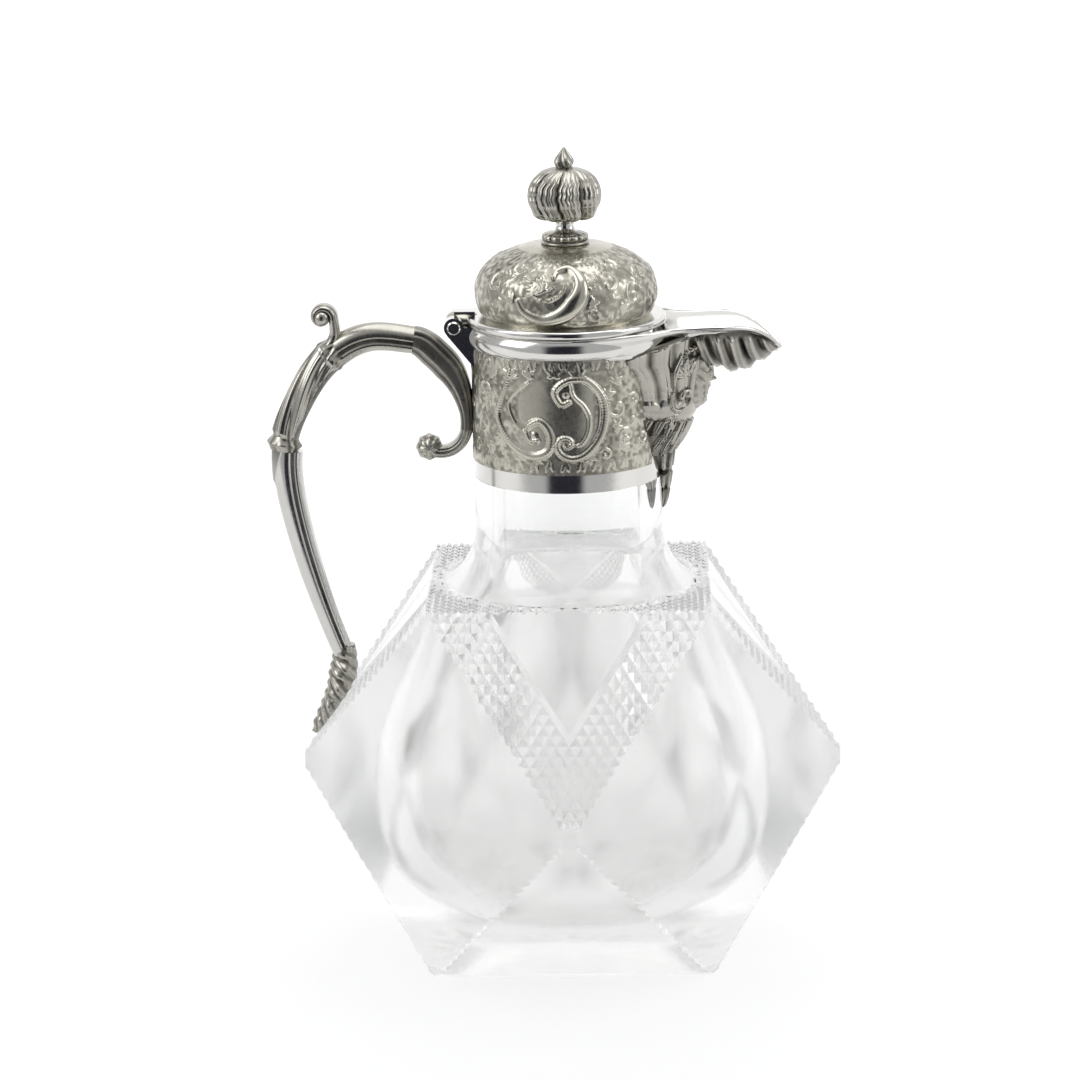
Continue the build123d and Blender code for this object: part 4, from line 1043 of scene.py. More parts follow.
# ------------------------------------------------------------------ collar
@dataclass
class CollarChasing:
    """Chased skin of the collar: a plain shield between two scrolls, leaves and a matted ground."""

    foot: float = 154.6
    top: float = 189.5
    columns: int = 560
    rows: int = 140
    back_radius: float = 28.9
    ground: float = 29.03
    shield_middle: float = -3.4
    left_scroll: tuple = (
        (-17.7, 186.2), (-19.3, 181.5), (-22.1, 175.3), (-22.6, 170.8), (-20.1, 166.1), (-15.9, 162.3),
        (-10.4, 160.3), (-5.9, 161.9), (-4.6, 165.8), (-5.9, 169.5), (-8.4, 171.3), (-11.1, 170.1),
        (-12.3, 167.8), (-11.1, 165.4), (-9.0, 165.4),
    )
    left_inner: tuple = (
        (-11.4, 183.2), (-13.8, 181.3), (-17.4, 178.0), (-18.3, 174.7), (-16.3, 170.5), (-13.1, 167.7),
    )
    right_scroll: tuple = (
        (0.9, 177.4), (-1.4, 176.5), (-3.3, 179.8), (-2.2, 182.1), (0.3, 183.7), (2.8, 184.1),
        (6.5, 183.5), (10.4, 179.4), (12.1, 174.2), (11.4, 168.5), (9.1, 164.2), (5.3, 160.7),
        (1.5, 159.8), (-1.5, 161.1), (-2.9, 163.9), (-1.5, 166.1), (0.9, 165.9), (1.5, 164.2), (0.0, 163.4),
    )
    right_inner: tuple = (
        (1.5, 182.7), (1.9, 180.2), (2.8, 178.5), (5.3, 175.9), (7.0, 172.0), (6.5, 167.6), (4.6, 164.5),
        (2.5, 163.9),
    )

    def spout_edge(self, z: np.ndarray) -> np.ndarray:
        """Distance along the collar from the front middle to just under the spout's apron."""
        return np.interp(z, (149.0, 156.5, 164.0, 173.0, 178.0, 189.5), (31.5, 31.2, 30.4, 28.6, 26.4, 18.9))

    def draw(self, relief: Relief) -> None:
        """Draws one side's ornament, u along the collar towards the spout and v upwards."""
        u, v = relief.u, relief.v
        bow = np.clip(3 - 3 * ((u - self.shield_middle) / 12.2) ** 4, 0, 1) * np.clip((v - 158.9) / 0.5, 0, 1)
        relief.plain(bow * np.clip((184.5 - v) / 1.5, 0, 1), 0.10)
        dark_left = near_curve(u, v, smooth_curve(np.array(self.left_inner), 60), np.full(60, 2.6))[0]
        relief.height *= np.clip(dark_left * 1.2 - 0.2, 0, 1)
        relief.rub *= np.clip(dark_left * 1.2 - 0.2, 0, 1)
        relief.stroke(self.left_scroll, 2.5, 0.85, (0.5, 1.2, 0.7))
        relief.stroke(self.left_inner, 1.5, 0.6, (0.4, 1.0, 0.6))
        relief.stroke(self.right_scroll, 2.3, 0.85, (0.7, 1.2, 0.6))
        relief.stroke(self.right_inner, 1.5, 0.6, (0.6, 1.0, 0.6))
        relief.stroke(((9.3, 179.0), (10.2, 174.3), (9.6, 168.6), (7.4, 164.6)), 0.8, 0.35)
        relief.dot((-9.8, 166.9), 1.15, 0.5)
        relief.dot((-0.2, 164.3), 1.0, 0.5)
        relief.dot((0.0, 179.4), 1.0, 0.5)
        relief.spray((-17.6, 184.0), 100, 4.6, 0.42, 5, 150)
        relief.spray((-12.0, 184.6), 60, 3.8, 0.36, 4, 110)
        relief.spray((3.6, 184.6), 95, 4.2, 0.4, 5, 160)
        relief.spray((11.8, 178.5), 35, 4.2, 0.4, 4, 110)
        relief.spray((-3.6, 185.0), 90, 3.2, 0.34, 5, 170)
        relief.spray((-14.6, 160.4), -60, 3.4, 0.34, 4, 120)
        relief.spray((-20.6, 165.0), 215, 4.6, 0.4, 5, 120)
        relief.spray((6.6, 160.4), -50, 3.2, 0.32, 4, 120)
        relief.spray((-8.0, 159.8), -90, 2.2, 0.28, 4, 150)
        for root, angle, size in (
            ((-24.6, 183.6), 120, 4.0), ((-24.8, 176.6), 170, 4.4), ((-25.6, 161.6), 200, 3.8),
            ((-36.6, 164.2), 80, 3.6), ((-37.0, 182.4), 250, 4.2), ((15.0, 168.6), 20, 3.8),
            ((18.0, 161.4), 60, 3.6), ((15.4, 182.2), 60, 3.4), ((23.4, 170.4), 240, 3.6),
            ((24.4, 160.4), 120, 3.4),
        ):
            relief.spray(root, angle, size, 0.32, 4, 130)
        for centre, start, turn, radius in (
            ((-29.6, 178.6), 250, 430, 4.4), ((-30.6, 168.0), 110, -430, 4.2), ((-38.4, 173.0), 300, 400, 3.2),
            ((-27.0, 187.0), 200, -330, 1.9), ((-34.0, 160.8), 10, 360, 2.2), ((16.2, 174.6), 150, 400, 3.3),
            ((19.4, 165.6), 250, -400, 3.1), ((22.6, 176.2), 200, -380, 2.6), ((12.0, 160.6), 150, -330, 2.0),
            ((26.6, 164.4), 200, 330, 2.2), ((-40.6, 184.6), 180, 330, 2.4), ((-41.8, 164.4), 90, -330, 2.6),
        ):
            relief.stroke(curl(centre, start, turn, radius), 1.25, 0.36, (0.5, 1.1, 0.9), smooth=False)
        for k in range(30):
            relief.leaf((-44 + 2.35 * k, 189.3), -105 if k % 2 else -75, 2.7, 1.1, 0.26)
        for k in range(32):
            relief.leaf((-44 + 2.35 * k, 155.6), 100 if k % 2 else 70, 3.4, 1.2, 0.24)
        relief.grain(0.9, 0.16, 0.7, 5)
        seed = np.random.default_rng(11)
        for _ in range(150):
            place = (seed.uniform(-45, 30), seed.uniform(157.0, 187.6))
            near = np.argmin((u[:, 0] - place[0]) ** 2), np.argmin((v[0] - place[1]) ** 2)
            if relief.height[near] < 0.05 and abs(place[0] - self.shield_middle) > 11.6:
                relief.leaf(place, seed.uniform(0, 360), seed.uniform(1.5, 2.8), 0.85, 0.22, seed.uniform(-90, 90))

    def make(self, finish: bpy.types.Material) -> None:
        """Lays the skin over the sleeve, from the spout round by the handle and back to it."""
        v = np.linspace(self.foot, self.top, self.rows)
        half = self.columns // 2
        u = np.linspace(-math.pi / 2 * COLLAR_RADIUS, 32.0, half)
        grid_u, grid_v = np.meshgrid(u, v, indexing="ij")
        relief = Relief(grid_u, grid_v)
        self.draw(relief)
        share = np.linspace(0, 1, half)[:, None]
        edge = self.spout_edge(v)[None, :]
        s = u[0] + share * (edge - u[0])
        rows = np.broadcast_to(np.arange(self.rows)[None, :], s.shape)
        place = np.clip((s - u[0]) / (u[1] - u[0]), 0, half - 1.001)
        low = place.astype(int)
        part = place - low
        height = relief.height[low, rows] * (1 - part) + relief.height[low + 1, rows] * part
        rub = relief.rub[low, rows] * (1 - part) + relief.rub[low + 1, rows] * part
        angle = s / COLLAR_RADIUS
        radius = self.ground + height
        one = np.stack([radius * np.sin(angle), -radius * np.cos(angle), np.broadcast_to(v, s.shape)], axis=-1)
        thin = np.stack(
            [
                self.back_radius * np.sin(angle[:, [-1, 0]]),
                -self.back_radius * np.cos(angle[:, [-1, 0]]),
                np.broadcast_to(v[[-1, 0]], (half, 2)),
            ],
            axis=-1,
        )
        front = np.concatenate([one, thin], axis=1)
        tone = np.concatenate([rub, np.zeros((half, 2))], axis=1)
        mirror = front * np.array([1.0, -1.0, 1.0])
        loop = np.concatenate([front[::-1], mirror[1:]], axis=0)
        surface = Surface()
        index = surface.add_grid(loop, np.concatenate([tone[::-1], tone[1:]], axis=0), wrap_v=True)
        surface.add_faces(index[:1])
        surface.add_faces(index[-1:, ::-1])
        piece = surface.build("chased_collar", Shade.CAST)
        dress(piece, "jug", "chased_silver", finish)


# ------------------------------------------------------------------ lid
@dataclass
class LidDome:
    """Lid's dome: a shell crescent in high relief on a ground of scrolls and punched dots."""

    columns: int = 600
    rows: int = 110
    wall: float = 1.1
    hole: float = 1.6
    outline: tuple = (
        (25.4, 198.7), (26.9, 201.6), (27.6, 205.3), (27.2, 209.2), (25.2, 213.0), (21.6, 216.0),
        (17.8, 217.9), (14.0, 219.3), (10.6, 220.1), (7.3, 220.3),
    )
    crescent: tuple = (
        (-14.6, 9.0), (-12.4, 5.6), (-6.8, 3.3), (-0.7, 5.1), (3.5, 9.3), (5.3, 13.9), (4.2, 18.0),
        (1.2, 20.4), (-2.6, 19.0), (-3.6, 16.6),
    )

    def draw(self, relief: Relief) -> None:
        """Draws the ornament, u round the dome in mm at its widest and v up along its outline."""
        u, v = relief.u, relief.v
        for side in (0.0, math.pi):
            off = side * 27.7
            outer = np.array(self.crescent) + (off, 0)
            relief.stroke(outer, 4.8, 1.35, (0.45, 1.2, 0.35))
            relief.stroke(((off - 11.5, 11.6), (off - 6.4, 9.4), (off - 1.6, 11.0), (off + 0.6, 14.6)), 1.2, 0.8)
            relief.stroke(((off - 9.4, 14.6), (off - 5.6, 12.6), (off - 2.4, 14.2)), 1.1, 0.7)
            for k in range(7):
                relief.leaf((off - 6.0, 12.0), 95 + 15 * k, 5.6 + 0.25 * k, 1.5, 0.75, 12)
            for k in range(15):
                angle = math.radians(168 - 13.5 * k)
                relief.dot((off - 3.6 + 11.8 * math.cos(angle), 11.8 + 11.0 * math.sin(angle)), 0.5, 0.5)
            relief.spray((off - 16.4, 9.2), 170, 4.4, 0.5, 5, 130)
            relief.spray((off + 7.4, 8.4), -20, 3.8, 0.4, 4, 120)
            for centre, start, turn, radius in (
                ((14.6, 14.0), 200, -420, 5.2), ((23.4, 9.6), 20, 420, 4.4), ((30.6, 15.4), 240, -400, 4.2),
                ((-24.6, 13.6), -10, 420, 4.8), ((-33.6, 8.6), 170, -400, 4.0), ((-18.4, 20.4), 0, -380, 3.4),
                ((9.6, 4.6), 100, 380, 2.6), ((20.6, 20.6), 190, -380, 3.2), ((-26.2, 4.6), 60, 380, 2.6),
                ((38.4, 8.4), 200, 400, 3.6),
            ):
                relief.stroke(curl((off + centre[0], centre[1]), start, turn, radius), 1.4, 0.45, smooth=False)
            for root, angle, size in (
                ((11.0, 18.6), 70, 4.0), ((18.4, 5.6), 20, 4.0), ((27.0, 12.8), 100, 4.0), ((34.4, 18.6), 60, 3.4),
                ((-19.6, 14.6), 120, 4.2), ((-29.6, 17.6), 100, 3.8), ((-37.6, 12.6), 150, 3.8),
                ((-12.6, 22.4), 80, 3.2), ((6.4, 23.6), 90, 3.0), ((-21.0, 7.4), 200, 3.6),
            ):
                relief.spray((off + root[0], root[1]), angle, size, 0.38, 5, 140)
        relief.grain(1.0, 0.2, 0.75, 9)
        relief.plain(np.clip((1.6 - v) / 0.5, 0, 1), 0.12)
        relief.plain(np.clip((v - 27.6) / 0.8, 0, 1), 0.15)

    def make(self, finish: bpy.types.Material) -> None:
        """Builds the dome, closed inside by its wall, and stands it in for the CAD's."""
        outer = smooth_curve(np.array(self.outline), self.rows)
        run = np.concatenate([[0], np.cumsum(np.linalg.norm(np.diff(outer, axis=0), axis=1))])
        angles = np.arange(self.columns) * TAU / self.columns
        u = ((angles + math.pi / 2 + 1.0) % TAU - 1.0) * 27.7
        grid_u, grid_v = np.meshgrid(u, run, indexing="ij")
        relief = Relief(grid_u, grid_v)
        self.draw(relief)
        slope = np.gradient(outer, axis=0)
        normal = np.stack([slope[:, 1], -slope[:, 0]], axis=1)
        normal /= np.linalg.norm(normal, axis=1)[:, None]
        fade = np.clip(run / 1.0, 0, 1) * np.clip((run[-1] - run) / 1.0, 0, 1)
        height = relief.height * fade[None, :]
        r = outer[None, :, 0] + normal[None, :, 0] * height
        z = outer[None, :, 1] + normal[None, :, 1] * height
        c, s = np.cos(angles)[:, None], np.sin(angles)[:, None]
        front = np.stack([r * c, r * s, z], axis=-1)
        inner = outer[:: -8] - normal[:: -8] * self.wall
        inner[0], inner[-1] = (self.hole, outer[-1, 1] - self.wall), (outer[0, 0] - self.wall, outer[0, 1])
        lining = np.vstack([[(self.hole, outer[-1, 1])], inner])
        back = np.stack([lining[:, 0] * c, lining[:, 0] * s, lining[:, 1] + 0 * c], axis=-1)
        loop = np.concatenate([front, back], axis=1)
        tone = np.concatenate([relief.rub, np.full((len(angles), len(lining)), 0.5)], axis=1)
        surface = Surface()
        surface.add_grid(loop, tone, wrap_u=True, wrap_v=True)
        piece = surface.build("chased_dome", Shade.CAST)
        dress(piece, "lid", "chased_silver", finish, "lid_dome")


@dataclass
class Finial:
    """Finial: an onion of curved leaves with a bud on top, on a leafy ring."""

    foot: float = 228.2
    height: float = 15.4
    radius: float = 11.3
    leaves: int = 8
    base_foot: float = 220.3
    base_height: float = 3.9
    tip_height: float = 5.9

    def make_bulb(self, finish: bpy.types.Material) -> None:
        """Builds the bulb: each leaf swells, leans as it climbs and hooks over at its foot."""
        profile = smooth_curve(
            np.array(
                [(0.30, 0.05), (0.44, 0.01), (0.62, 0.03), (0.82, 0.12), (0.96, 0.26), (1.0, 0.42), (0.97, 0.6),
                 (0.86, 0.77), (0.66, 0.9), (0.42, 0.97), (0.24, 1.0)]
            ),
            90,
        )
        angles = np.arange(360) * TAU / 360
        h, a = np.meshgrid(profile[:, 1], angles, indexing="ij")
        lean = 0.3 * np.sin(math.pi * np.clip(h, 0, 1)) + 0.022 * np.sin(TAU * 5 * h)
        wave = (a * self.leaves / TAU + lean) % 1.0
        middle = np.abs(wave - 0.5) * 2
        swell = np.sqrt(np.clip(1 - middle**2, 0, 1))
        crease = np.exp(-(((wave - 0.5) / 0.06) ** 2)) + 0.7 * np.exp(-(((np.abs(wave - 0.5) - 0.25) / 0.05) ** 2))
        depth = np.interp(h, (0, 0.1, 0.6, 0.9, 1.0), (0.1, 0.24, 0.24, 0.2, 0.05))
        share = 1 - depth * (1 - swell) - 0.05 * crease * np.interp(h, (0, 0.2, 0.8, 1), (0, 1, 1, 0))
        hook = 0.10 * np.exp(-(((h - 0.07) / 0.08) ** 2)) * swell
        r = self.radius * (profile[:, 0][:, None] * (share + hook))
        z = self.foot + self.height * (profile[:, 1][:, None] - 0.05 * swell * np.exp(-((h - 0.05) / 0.1) ** 2))
        grid = np.stack([r * np.cos(a), r * np.sin(a), z], axis=-1)
        tone = np.clip(1.1 * swell - 0.9 * crease, 0, 1)
        surface = Surface()
        index = surface.add_grid(grid, tone, wrap_v=True)
        surface.add_faces(index[:1, ::-1])
        surface.add_faces(index[-1:])
        piece = surface.build("finial_onion", Shade.CAST)
        dress(piece, "lid", "cast_silver", finish, "finial_bulb")

    def make_tip(self, finish: bpy.types.Material) -> None:
        """Builds the bud: four leaves folded to a point."""
        foot = self.foot + self.height - 0.25
        profile = smooth_curve(
            np.array([(2.3, 0.0), (2.9, 0.9), (3.15, 1.9), (2.6, 3.1), (1.6, 4.4), (0.9, 5.4), (0.35, 6.2)]), 40
        )
        angles = np.arange(120) * TAU / 120
        h, a = np.meshgrid(profile[:, 1] / 6.2, angles, indexing="ij")
        fold = np.abs(np.sin(2 * a + 2.2 * h))
        r = profile[:, 0][:, None] * (0.74 + 0.28 * fold)
        grid = np.stack([r * np.cos(a), r * np.sin(a), foot + profile[:, 1][:, None] + 0 * a], axis=-1)
        surface = Surface()
        index = surface.add_grid(grid, fold, wrap_v=True)
        surface.add_faces(index[:1, ::-1])
        surface.add_faces(index[-1:])
        dress(surface.build("finial_bud", Shade.CAST), "lid", "cast_silver", finish, "finial_tip")

    def make_base(self, finish: bpy.types.Material) -> None:
        """Builds the ring: a plain foot, a dark groove and a collar of small leaves."""
        profile = np.array(
            [(1.5, 0.0), (6.9, 0.0), (7.3, 0.35), (7.35, 0.8), (6.9, 1.1), (6.7, 1.35), (7.1, 1.7), (7.25, 2.3),
             (6.8, 2.95), (5.9, 3.35), (4.9, 3.6), (3.8, 3.9), (1.5, 3.9)]
        )
        dense = np.vstack([profile[:1], smooth_curve(profile[1:-1], 60), profile[-1:]])
        angles = np.arange(280) * TAU / 280
        h, a = np.meshgrid(dense[:, 1], angles, indexing="ij")
        leafy = np.clip((h - 1.4) / 0.4, 0, 1) * np.clip((3.7 - h) / 0.5, 0, 1)
        wave = np.abs(np.sin(7 * a)) ** 0.6
        r = dense[:, 0][:, None] * (1 - 0.08 * leafy * (1 - wave))
        grid = np.stack([r * np.cos(a), r * np.sin(a), self.base_foot + dense[:, 1][:, None] + 0 * a], axis=-1)
        tone = np.where(leafy > 0, wave, 0.6) * np.where(np.abs(h - 1.3) < 0.25, 0.0, 1.0)
        surface = Surface()
        surface.add_grid(grid, tone, wrap_u=True, wrap_v=True)
        dress(surface.build("finial_ring", Shade.CAST), "lid", "cast_silver", finish, "finial_base")

    def make_thumb_piece(self, finish: bpy.types.Material) -> None:
        """Builds the rounded lump that caps the hinge, behind the dome."""
        up, around = np.meshgrid(np.linspace(-math.pi / 2, math.pi / 2, 31), np.arange(60) * TAU / 60, indexing="ij")
        grid = np.stack(
            [
                -31.2 + 5.3 * np.cos(up) * np.cos(around),
                4.6 * np.cos(up) * np.sin(around),
                197.5 + 2.3 * np.sin(up) - 0.06 * (np.cos(up) * np.cos(around) * 5.3),
            ],
            axis=-1,
        )
        surface = Surface()
        surface.add_grid(grid, 0.8, wrap_v=True)
        dress(surface.build("hinge_cap", Shade.CAST), "lid", "cast_silver", finish)

    def make(self, finish: bpy.types.Material) -> None:
        """Builds the cast pieces of the lid."""
        self.make_thumb_piece(finish)
        self.make_bulb(finish)
        self.make_tip(finish)
        self.make_base(finish)


# ------------------------------------------------------------------ spout
@dataclass
class SpoutCasts:
    """Cast work round the spout: fluted apron with a swag, bearded mask, leaf under the lip, pendant."""

    outlines: tuple = (
        (156.5, 16.5, 28.6, 10.4, 32.8), (164.0, 17.4, 30.8, 11.6, 36.9), (173.0, 18.6, 33.4, 12.2, 39.0),
        (182.0, 20.6, 35.8, 12.2, 40.5), (190.0, 24.0, 37.6, 12.2, 41.6), (196.0, 25.5, 38.8, 12.2, 42.2),
    )
    root_x: float = 18.0
    edge_foot: float = 189.4
    edge_slope: float = 6.6 / 26.0
    flutes: int = 9
    mask_middle: float = 179.5
    mask_half_width: float = 7.4
    mask_half_height: float = 12.0

    def wall(self, z: float) -> np.ndarray:
        """Level outline of the bowl at a height, from the part outside the collar on one side to the other."""
        table = np.array(self.outlines)
        root, shoulder_x, shoulder, front = (
            np.interp(z, smooth[:, 0], smooth[:, 1])
            for smooth in (spline_curve(table[:, [0, k]], 60) for k in (1, 2, 3, 4))
        )
        knots = [(self.root_x, -root), (shoulder_x, -shoulder), (front, 0), (shoulder_x, shoulder), (self.root_x, root)]
        line = spline_curve(np.array(knots), 400)
        outside = np.flatnonzero(np.hypot(line[:, 0], line[:, 1]) > COLLAR_RADIUS - 0.5)
        return line[outside[0] : outside[-1] + 1]

    def make_apron(self, finish: bpy.types.Material) -> None:
        """Builds the apron: flutes fan down from the flange, a plain swag crosses them, husks hang below."""
        columns, rows = 300, 170
        levels = np.linspace(156.5, 196.0, 80)
        walls = np.stack([spline_resample(self.wall(z), columns) for z in levels])
        edge = np.full(columns, 190.5)
        for _ in range(8):
            x = np.array([np.interp(edge[k], levels, walls[:, k, 0]) for k in range(columns)])
            edge = self.edge_foot + (x - self.root_x) * self.edge_slope
        side = np.array([np.interp(edge[k], levels, walls[:, k, 1]) for k in range(columns)])
        under_trough = np.interp(np.abs(side), (0, 6, 9.5, 12.5), (190.2, 191.5, 193.8, 195.1))
        edge = np.where(x > 35.5, np.minimum(edge, under_trough), edge)
        b = np.linspace(0, 1, rows)[:, None]
        z = 156.5 + b * (edge[None, :] - 156.5)
        flat = np.stack(
            [[np.interp(z[:, k], levels, walls[:, k, axis]) for k in range(columns)] for axis in (0, 1)], axis=-1
        ).transpose(1, 0, 2)
        run = np.concatenate([np.zeros((rows, 1)), np.cumsum(np.linalg.norm(np.diff(flat, axis=1), axis=2), axis=1)], axis=1)
        run -= run[:, -1:] / 2
        relief = Relief(run, z)
        share = np.linspace(0, 1, columns)[None, :]
        phase = share * self.flutes
        across = 2 * (phase % 1) - 1
        swell = np.clip(1 - across**2, 0, 1) ** 0.7
        fluted = np.clip((z - 171.5) / 4.0, 0, 1)
        relief.height = fluted * (1.9 * swell - 1.2 - 0.3 * np.exp(-((across / 0.1) ** 2)))
        relief.rub = fluted * 0.75 * swell**1.8 + (1 - fluted) * 0.4
        reach = run[:, -1:]
        swag_foot = 165.5 + 3.2 * (run / reach) ** 2
        swag = np.clip((z - swag_foot) / 7.6, 0, 1)
        bulge = np.sin(np.pi * swag) ** 0.8 * (1 - 0.5 * (run / reach) ** 2)
        folds = 0.12 * np.cos(16 * swag + 1.5 * np.abs(run / reach))
        relief.height += (1.2 * bulge + folds * bulge) * (1 - np.clip((z - 173.5) / 1.5, 0, 1))
        relief.rub = np.where((swag > 0.05) & (swag < 0.95) & (z < 173.5), 0.4 + 0.4 * bulge, relief.rub)
        below = Relief(run, z)
        for k in range(-6, 7):
            below.leaf((4.3 * k, 169.5 + 0.08 * k * k), -90 + 4 * k, 11.5 - 0.6 * abs(k), 3.6, 1.7, -2 * k)
        for k in range(-5, 6):
            below.leaf((4.3 * k + 2.1, 164.0), -90 + 4 * k, 8.0, 2.6, 1.3)
        low = z < swag_foot + 0.4
        relief.height = np.where(low, below.height - 0.4, relief.height)
        relief.rub = np.where(low, below.rub, relief.rub)
        for side in (1, -1):
            scroll = curl((side * 12.2, 174.6), 90 - side * 70, -side * 400, 5.2, 0.9)
            relief.stroke(scroll, 2.1, 1.9, (0.7, 1.0, 0.8), smooth=False)
            relief.stroke(((side * 17.4, 188.6), (side * 17.9, 183.0), (side * 17.4, 178.2)), 2.2, 1.8)
            relief.stroke(((side * 8.4, 187.6), (side * 11.4, 184.4), (side * 12.6, 181.4)), 2.4, 1.7)
            relief.spray((side * 13.6, 181.6), 90 - side * 15, 7.2, 1.6, 5, 120)
            relief.spray((side * 15.2, 168.8), -90 - side * 25, 4.4, 1.3, 5, 140)
            for k in range(4):
                relief.dot((side * (9.2 + 1.9 * k), 190.2 - 0.35 * k), 0.95, 1.5)
        rim = np.clip((z - edge[None, :] + 1.1) / 0.5, 0, 1)
        relief.height = relief.height * (1 - rim) - 0.7 * rim
        relief.rub *= 1 - rim
        tangent = np.gradient(flat, axis=1)
        normal = np.stack([tangent[..., 1], -tangent[..., 0]], axis=-1)
        normal /= np.linalg.norm(normal, axis=-1)[..., None]
        outer = np.concatenate([flat + normal * relief.height[..., None], z[..., None]], axis=-1)
        back = np.concatenate([flat - normal * 1.6, z[..., None]], axis=-1)[[-1, 0]]
        loop = np.concatenate([outer, back], axis=0)
        tone = np.concatenate([relief.rub, np.zeros((2, columns))], axis=0)
        surface = Surface()
        index = surface.add_grid(loop, tone, wrap_u=True)
        surface.add_faces(index[:, 0][None, :])
        surface.add_faces(index[::-1, -1][None, :])
        dress(surface.build("shell_apron", Shade.CAST), "jug", "cast_silver", finish, "spout_apron")

    def make_mask(self, finish: bpy.types.Material) -> None:
        """Builds the bearded head on a height map over an oval: Y across and Z up, both from -1 to 1.

        The brow, eyes, nose and mouth sit on the usual halves and thirds of a face.
        """
        rings, spokes = 110, 260
        rho, theta = np.meshgrid(np.linspace(0, 1, rings), np.arange(spokes) * TAU / spokes, indexing="ij")
        y, z = rho * np.sin(theta), rho * np.cos(theta)

        def bump(cy: float, cz: float, wy: float, wz: float) -> np.ndarray:
            """Smooth mound at a place, the same on both sides of the face."""
            return np.exp(-(((np.abs(y) - cy) / wy) ** 2) - ((z - cz) / wz) ** 2)

        height = 5.0 * np.clip(1 - rho**2, 0, 1) ** 0.55
        face = np.clip((0.62 - np.hypot(y / 0.95, (z - 0.02) / 0.85)) / 0.08, 0, 1)
        height += 0.55 * bump(0.26, 0.24, 0.2, 0.05) - 0.95 * bump(0.27, 0.12, 0.15, 0.085)
        height += 0.75 * bump(0.27, 0.11, 0.085, 0.045) - 0.2 * bump(0.27, 0.105, 0.08, 0.012)
        height += 1.5 * np.exp(-((y / 0.09) ** 2)) * np.interp(z, (-0.2, -0.16, 0.2, 0.26), (0, 1, 0.35, 0))
        height += 0.8 * bump(0.0, -0.13, 0.13, 0.05) + 0.45 * bump(0.12, -0.15, 0.05, 0.04)
        height += 0.55 * bump(0.36, -0.1, 0.14, 0.12) + 0.3 * bump(0.0, 0.42, 0.4, 0.12)
        height += 0.5 * bump(0.0, -0.37, 0.13, 0.03) + 0.35 * bump(0.0, -0.31, 0.15, 0.025)
        height -= 0.4 * bump(0.0, -0.34, 0.2, 0.012)
        strands = np.sin(30 * np.abs(y) - 26 * z * (1 - 0.5 * np.abs(y)))
        moustache = bump(0.17, -0.27, 0.16, 0.04)
        height += moustache * (0.75 + 0.25 * strands)
        beard = np.clip((-0.36 - z + 0.5 * np.abs(y)) / 0.1, 0, 1) * (1 - bump(0.0, -0.38, 0.16, 0.07))
        hair = np.clip((np.hypot(y / 0.9, (z + 0.05) / 1.0) - 0.56) / 0.08, 0, 1)
        locks = np.sin(20 * np.arctan2(z + 0.1, y) + 9 * rho) * 0.5 + 0.5 * np.sin(15 * rho + 5 * theta)
        height += (1 - np.clip(rho * 1.0, 0, 1) ** 8) * (beard * (0.55 + 0.4 * strands) + hair * (0.6 + 0.45 * locks))
        edge = np.clip((1 - rho) / 0.06, 0, 1)
        height = height * edge
        base = np.interp(self.mask_middle + z * self.mask_half_height, (156.5, 164, 173, 182, 190, 196), (32.8, 36.9, 39.0, 40.5, 41.6, 42.2))
        dip = 0.05 * (y * self.mask_half_width) ** 2
        points = np.stack(
            [base - 0.9 - dip + height * 0.95, y * self.mask_half_width, self.mask_middle + z * self.mask_half_height],
            axis=-1,
        )
        # The eye hollows and the mouth's line are darkened beyond the rest: partly tarnish in those hollows, partly
        # painted shade for their shadows.
        tone = np.clip(0.55 + 0.25 * (strands * beard + locks * hair) - 1.1 * bump(0.27, 0.12, 0.16, 0.05) * (1 - bump(0.27, 0.11, 0.07, 0.035)) - 0.9 * bump(0.0, -0.34, 0.2, 0.014), 0, 1)
        ring = points[-1] * 1.0
        ring[:, 0] -= 2.6
        surface = Surface()
        index = surface.add_grid(np.concatenate([points, ring[None]], axis=0), np.concatenate([tone, tone[-1:]], axis=0), wrap_v=True)
        surface.add_faces(index[-1:])
        dress(surface.build("bearded_mask", Shade.CAST), "jug", "cast_silver", finish, "spout_mask")

    def lip(self, x: np.ndarray) -> tuple[np.ndarray, np.ndarray, np.ndarray]:
        """Half width of the lip, height of its edge and height of its underside at a distance out."""
        wide = np.array([(28, 18.8), (32, 15.2), (36, 13.1), (40, 12.9), (45, 14.4), (50, 13.6), (55, 10.4),
                         (60, 6.2), (63.5, 2.9), (64.9, 0.5)])
        edge = np.array([(28, 196), (40, 196.1), (45, 196.3), (50, 196.2), (55, 195.4), (60, 192.8), (63, 190.2),
                         (64.9, 187.9)])
        under = np.array([(36, 184.0), (40, 184.0), (44, 183.6), (47, 182.4), (51, 181.4), (55, 182.2), (59, 184.4), (62.5, 186.4),
                          (64.9, 187.5)])
        return tuple(
            np.interp(x, smooth[:, 0], smooth[:, 1]) for smooth in (spline_curve(k, 200) for k in (wide, edge, under))
        )

